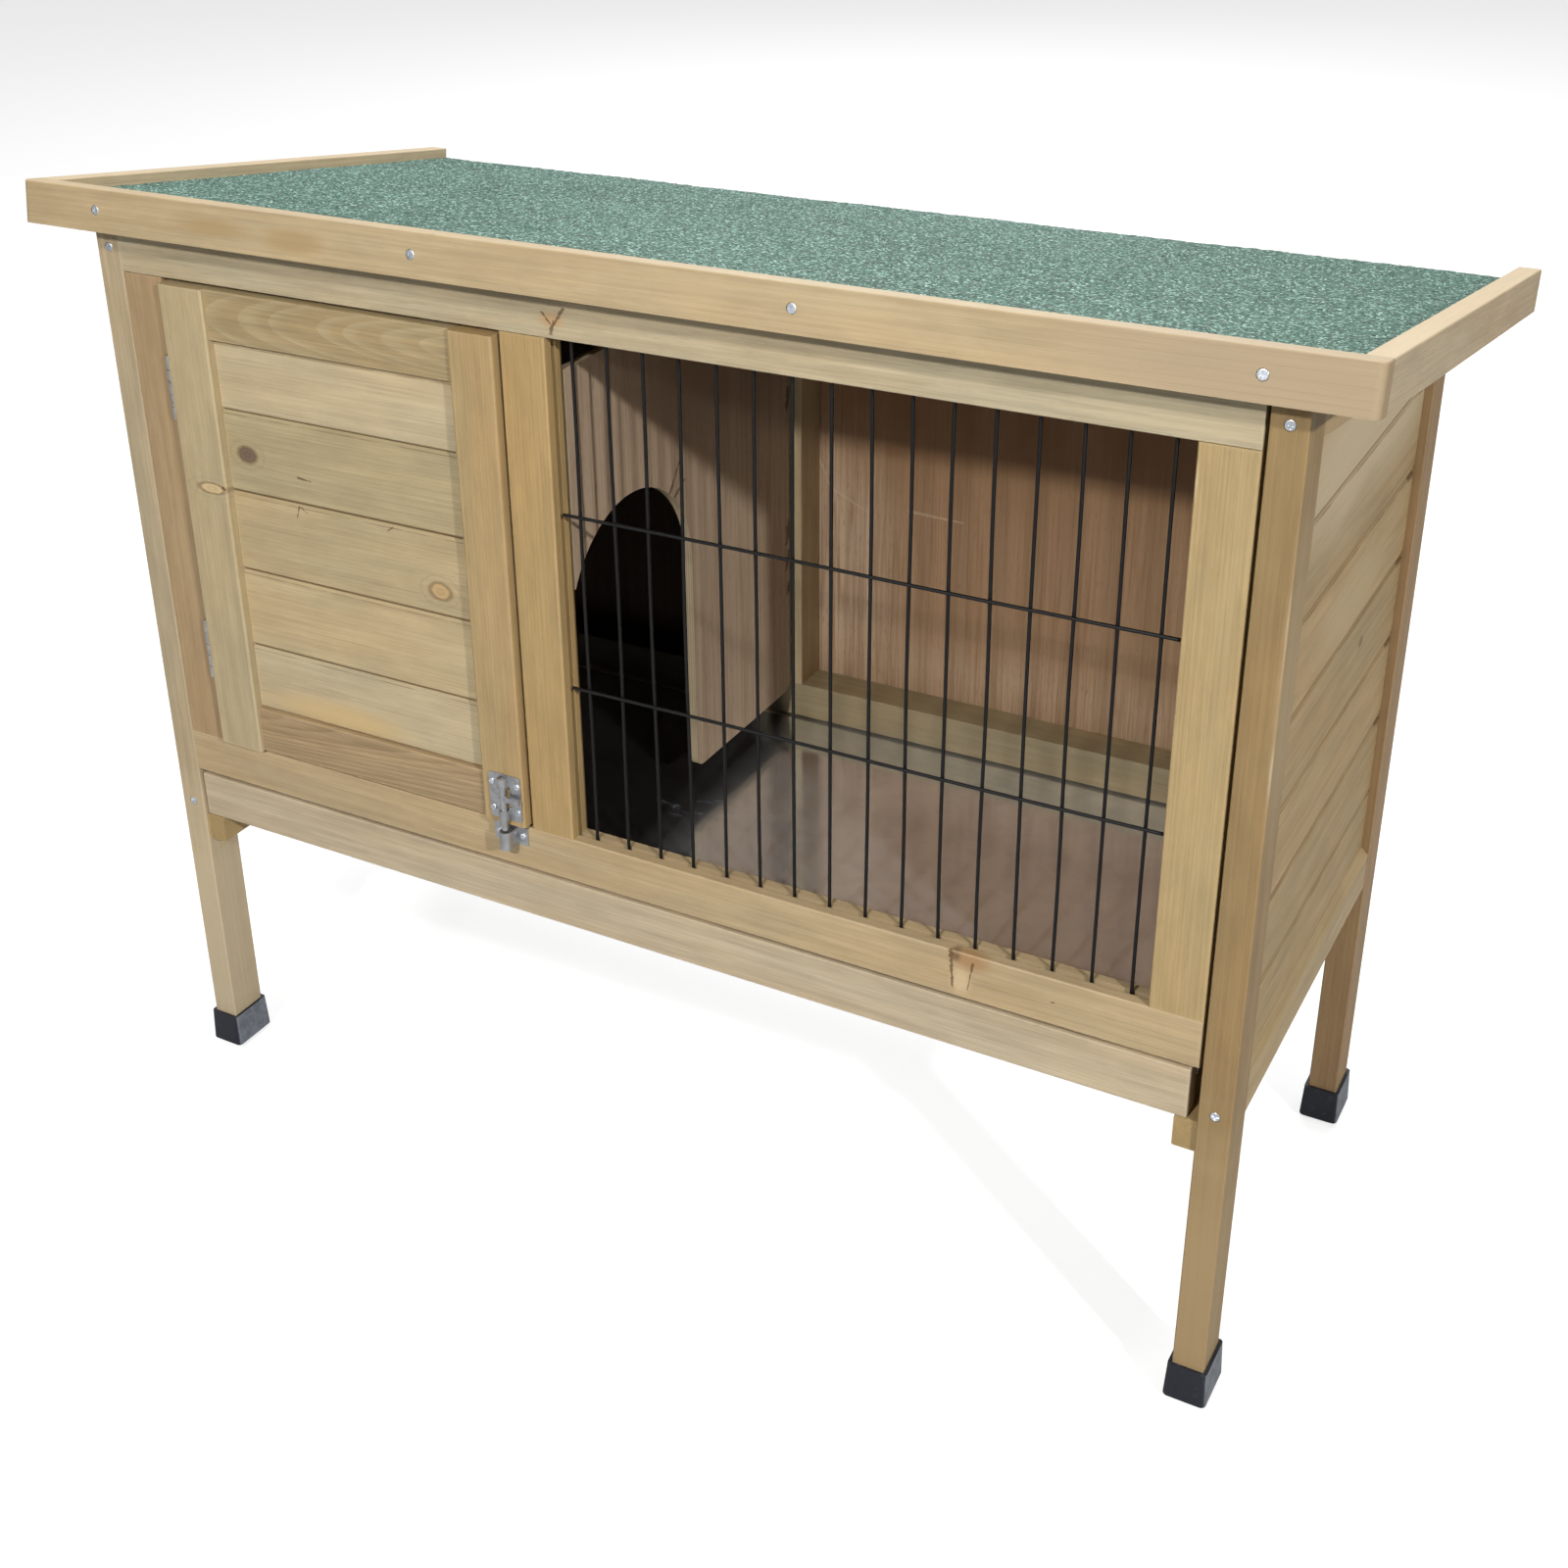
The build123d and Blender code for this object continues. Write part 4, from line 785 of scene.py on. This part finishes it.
ripple = (np.sin(across[None, :] * 23.0 + 1.1) * np.sin(down[:, None] * 19.0)
          + 0.6 * np.sin(across[None, :] * 61.0 + down[:, None] * 37.0))
lift = -0.0006 * grit + 0.00022 * ripple - 0.0004
sideways = np.array((1.0, 0.0, 0.0)) * across[None, :, None]
outward = np.where((drop > 0)[:, None, None], down_slope, off_slope)
top_grid = (sideways + down_slope * (roof_start + flat)[:, None, None]
            + off_slope * (roof_top - drop)[:, None, None] + outward * lift[:, :, None])
inner_along = roof_start + np.minimum(flat, deck_run - felt_thickness)
inner_drop = np.where(drop > 0, np.maximum(drop, felt_thickness), 0.0)
inner_top = roof_top - felt_thickness - np.maximum(inner_drop - felt_thickness, 0.0)
under_grid = sideways + down_slope * inner_along[:, None, None] + off_slope * inner_top[:, None, None]
felt = solid_between("felt_sheet", top_grid, under_grid)

granules_per_metre = 700.0
felt_finish, tree, shader = finish("green_granules")
place = node(tree, "TexCoord").outputs["Object"]
granule = node(tree, "TexVoronoi", {"Vector": place, "Scale": granules_per_metre}, feature="F1")
chance = axes(tree, granule.outputs["Color"])
patches = speckle(tree, place, 7.0, 3.0)
worn = speckle(tree, place, 60.0, 2.0)
green = blended(tree, step(tree, patches, 0.35, 0.65), shade(82, 121, 105), shade(96, 135, 120))
dark = shade(28, 52, 44)
light = shade(176, 206, 194)
toned = blended(tree, step(tree, chance[0], 0.40, 0.80, 0.85, 0.0), green, dark)
toned = blended(tree, step(tree, chance[1], 0.82, 0.95, 0.0, 0.85), toned, light)
toned = blended(tree, step(tree, worn, 0.60, 0.75, 0.0, 0.3), toned, dark)
tree.links.new(toned, shader.inputs["Base Color"])
tree.links.new(step(tree, chance[2], 0.0, 1.0, 0.55, 0.95), shader.inputs["Roughness"])
stand = sums(tree, "SUBTRACT", 1.0, granule.outputs["Distance"])
raised(tree, shader, sums(tree, "ADD", stand, chance[2]), 0.8, 0.0006)
felt.data.materials.append(felt_finish)
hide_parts("roof_felt")
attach(felt, "hutch")

# -------------------- wire panel
# Sixteen upright wires and two cross wires, spot welded and dipped in black. The uprights stand in a
# groove, and each is a little bowed.
wire_radius = 0.00115
wire_sides = 10


def tube(path, radii):
    """Rings of points round a path: each ring lies square to the path, with its own radius."""
    heading = np.gradient(path, axis=0)
    heading /= np.linalg.norm(heading, axis=1)[:, None]
    aside = np.cross(heading, (0.0, 1.0, 0.0))
    aside /= np.linalg.norm(aside, axis=1)[:, None]
    over = np.cross(heading, aside)
    turn = np.linspace(0.0, 2 * math.pi, wire_sides, endpoint=False)
    ring = aside[:, None, :] * np.cos(turn)[None, :, None] + over[:, None, :] * np.sin(turn)[None, :, None]
    return path[:, None, :] + ring * radii[:, None, None]


def join_tubes(name, tubes):
    """One piece from several tubes, each closed with a fan at both ends."""
    points = []
    faces = []
    start = 0
    for rings in tubes:
        count, sides = rings.shape[:2]
        points.append(rings.reshape(-1, 3))
        index = start + np.arange(count * sides).reshape(count, sides)
        beside = np.roll(index, -1, axis=1)
        quads = np.stack((index[:-1], index[1:], beside[1:], beside[:-1]), axis=-1).reshape(-1, 4)
        faces.extend(quads.tolist())
        faces.append(index[0].tolist())
        faces.append(index[-1, ::-1].tolist())
        start += count * sides
    mesh = bpy.data.meshes.new(name)
    mesh.from_pydata(np.concatenate(points).tolist(), [], faces)
    mesh.validate()
    mesh.polygons.foreach_set("use_smooth", [len(p.vertices) == 4 for p in mesh.polygons])
    made = bpy.data.objects.new(name, mesh)
    scene.collection.objects.link(made)
    return made


wire_low, wire_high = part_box("wire_panel")
upright_y = wire_high.y - wire_radius
cross_y = wire_low.y + wire_radius
upright_count = 16
wire_pitch = 0.0254
upright_span = (upright_count - 1) * wire_pitch
upright_middle = (wire_low.x + wire_high.x) / 2
cross_heights = (0.4105, 0.534)
weld_reach = 0.0016
tubes = []
height = np.linspace(wire_low.z, wire_high.z, 60)
lie = np.random.default_rng(7)
for x in upright_middle + np.linspace(-upright_span / 2, upright_span / 2, upright_count):
    share = (height - height[0]) / (height[-1] - height[0])
    bow = (lie.uniform(-0.0008, 0.0008) * np.sin(math.pi * share)
           + lie.uniform(-0.0004, 0.0004) * np.sin(3 * math.pi * share))
    path = np.stack((x + bow, np.full_like(height, upright_y), height), axis=1)
    swell = sum(np.exp(-((height - h) / weld_reach) ** 2) for h in cross_heights)
    tubes.append(tube(path, wire_radius * (1.0 + 0.12 * swell)))
cross_x = np.linspace(wire_low.x, wire_high.x, 260)
for h in cross_heights:
    sag = np.full_like(cross_x, h) + 0.0003 * np.sin(cross_x * 19)
    path = np.stack((cross_x, np.full_like(cross_x, cross_y), sag), axis=1)
    tubes.append(tube(path, np.full_like(cross_x, wire_radius)))
wires = join_tubes("front_wires", tubes)

wire_finish, tree, shader = finish("black_dipped_wire")
place = node(tree, "TexCoord").outputs["Object"]
skin = speckle(tree, place, 700.0, 3.0)
black = blended(tree, step(tree, skin, 0.4, 0.7), shade(9, 9, 10), shade(17, 17, 19))
tree.links.new(black, shader.inputs["Base Color"])
tree.links.new(step(tree, skin, 0.3, 0.7, 0.42, 0.58), shader.inputs["Roughness"])
shader.inputs["Specular IOR Level"].default_value = 0.3
raised(tree, shader, skin, 0.25, 0.0003)
wires.data.materials.append(wire_finish)
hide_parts("wire_panel")
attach(wires, "hutch")

# -------------------- tray sheet
# Thin galvanised sheet, lipped at both sides. It is bright enough to mirror the back wall, clouded
# by its zinc bloom and scuffed where it has been cleaned.
tray_finish, tree, shader = finish("galvanised_tray")
place = node(tree, "TexCoord").outputs["Object"]
bloom = speckle(tree, stretched(tree, place, (9.0, 5.0, 9.0)), 1.0, 3.0)
crystal = node(tree, "TexVoronoi", {"Vector": place, "Scale": 90.0}).outputs["Color"]
flake = axes(tree, crystal)[0]
sheen = blended(tree, step(tree, bloom, 0.35, 0.65), shade(232, 236, 242), shade(243, 246, 250))
sheen = blended(tree, step(tree, flake, 0.2, 0.9, 0.0, 0.15), sheen, shade(190, 196, 206))
smears = speckle(tree, stretched(tree, place, (60.0, 160.0, 60.0)), 1.0, 4.0, 0.7)
patch = reach_from(tree, place, (-0.050, -0.040, 0.25), (0.038, 0.026, 1.0))
patch = step(tree, patch, 0.3, 1.1, 1.0, 0.0)
scuffed = times(tree, patch, step(tree, smears, 0.52, 0.68))
thin = step(tree, smears, 0.62, 0.8, 0.0, 0.25)
scuffed = sums(tree, "MAXIMUM", scuffed, thin)
sheen = blended(tree, scuffed, sheen, shade(150, 166, 190))
tree.links.new(sheen, shader.inputs["Base Color"])
tree.links.new(step(tree, bloom, 0.3, 0.7, 0.09, 0.17), shader.inputs["Roughness"])
rightward = axes(tree, place)[0]
plated = step(tree, rightward, -0.06, 0.0, 0.98, 0.86)
tree.links.new(times(tree, plated, step(tree, scuffed, 0.0, 1.0, 1.0, 0.75)), shader.inputs["Metallic"])
dents = speckle(tree, place, 14.0, 1.0)
raised(tree, shader, dents, 0.12, 0.002)
dress(["metal_tray"], tray_finish)

# -------------------- zinc fittings
# Pressed-steel hinges, bolt, keeper and every screw are bright zinc, a little cloudy and scratched.


def zinc(name, members, colour, rough):
    """Gives CAD nodes a zinc plate with fine scratches and dull patches."""
    material, tree, shader = finish(name)
    place = node(tree, "TexCoord").outputs["Object"]
    cloud = speckle(tree, place, 160.0, 3.0)
    scratches = speckle(tree, stretched(tree, place, (2200.0, 2200.0, 180.0)), 1.0, 2.0)
    dull = dimmed(colour, 0.66)
    plated = blended(tree, step(tree, cloud, 0.4, 0.72, 0.0, 0.7), colour, dull)
    tree.links.new(plated, shader.inputs["Base Color"])
    tree.links.new(step(tree, scratches, 0.3, 0.7, rough, rough + 0.16), shader.inputs["Roughness"])
    shader.inputs["Metallic"].default_value = 1.0
    raised(tree, shader, scratches, 0.15, 0.0002)
    dress(members, material)


zinc("hinge_zinc", ["hinge_frame_leaves", "hinge_door_leaves", "hinge_pins"], shade(196, 194, 190), 0.32)
zinc("latch_zinc", ["latch_plate", "latch_bolt", "latch_keeper"], shade(186, 187, 190), 0.36)
zinc("screw_zinc", ["post_screws", "fascia_screws", "latch_screws", "keeper_screws",
                    "hinge_frame_screws", "hinge_door_screws"], shade(228, 234, 242), 0.30)

# -------------------- foot caps
# Moulded blue-black plastic caps pushed on the legs, with a faint moulding grain and scuffed rims.
cap_finish, tree, shader = finish("cap_plastic")
place = node(tree, "TexCoord").outputs["Object"]
mould = speckle(tree, place, 900.0, 3.0)
scuff = speckle(tree, place, 120.0, 4.0, 0.65)
rubbed = blended(tree, step(tree, scuff, 0.56, 0.72, 0.0, 0.35), shade(24, 28, 38), shade(72, 80, 94))
# The faces towards +X are painted paler in patches: painted light on the side that the right lamp lights.
outer = axes(tree, node(tree, "TexCoord").outputs["Normal"])[0]
painted_side_light = times(tree, step(tree, outer, 0.6, 0.95), step(tree, scuff, 0.35, 0.6, 0.6, 1.0))
tree.links.new(blended(tree, painted_side_light, rubbed, shade(118, 124, 133)), shader.inputs["Base Color"])
tree.links.new(step(tree, mould, 0.3, 0.7, 0.38, 0.52), shader.inputs["Roughness"])
raised(tree, shader, mould, 0.2, 0.0004)
dress([side + "_foot_cap" for side in ("front_left", "front_right", "back_left", "back_right")], cap_finish)
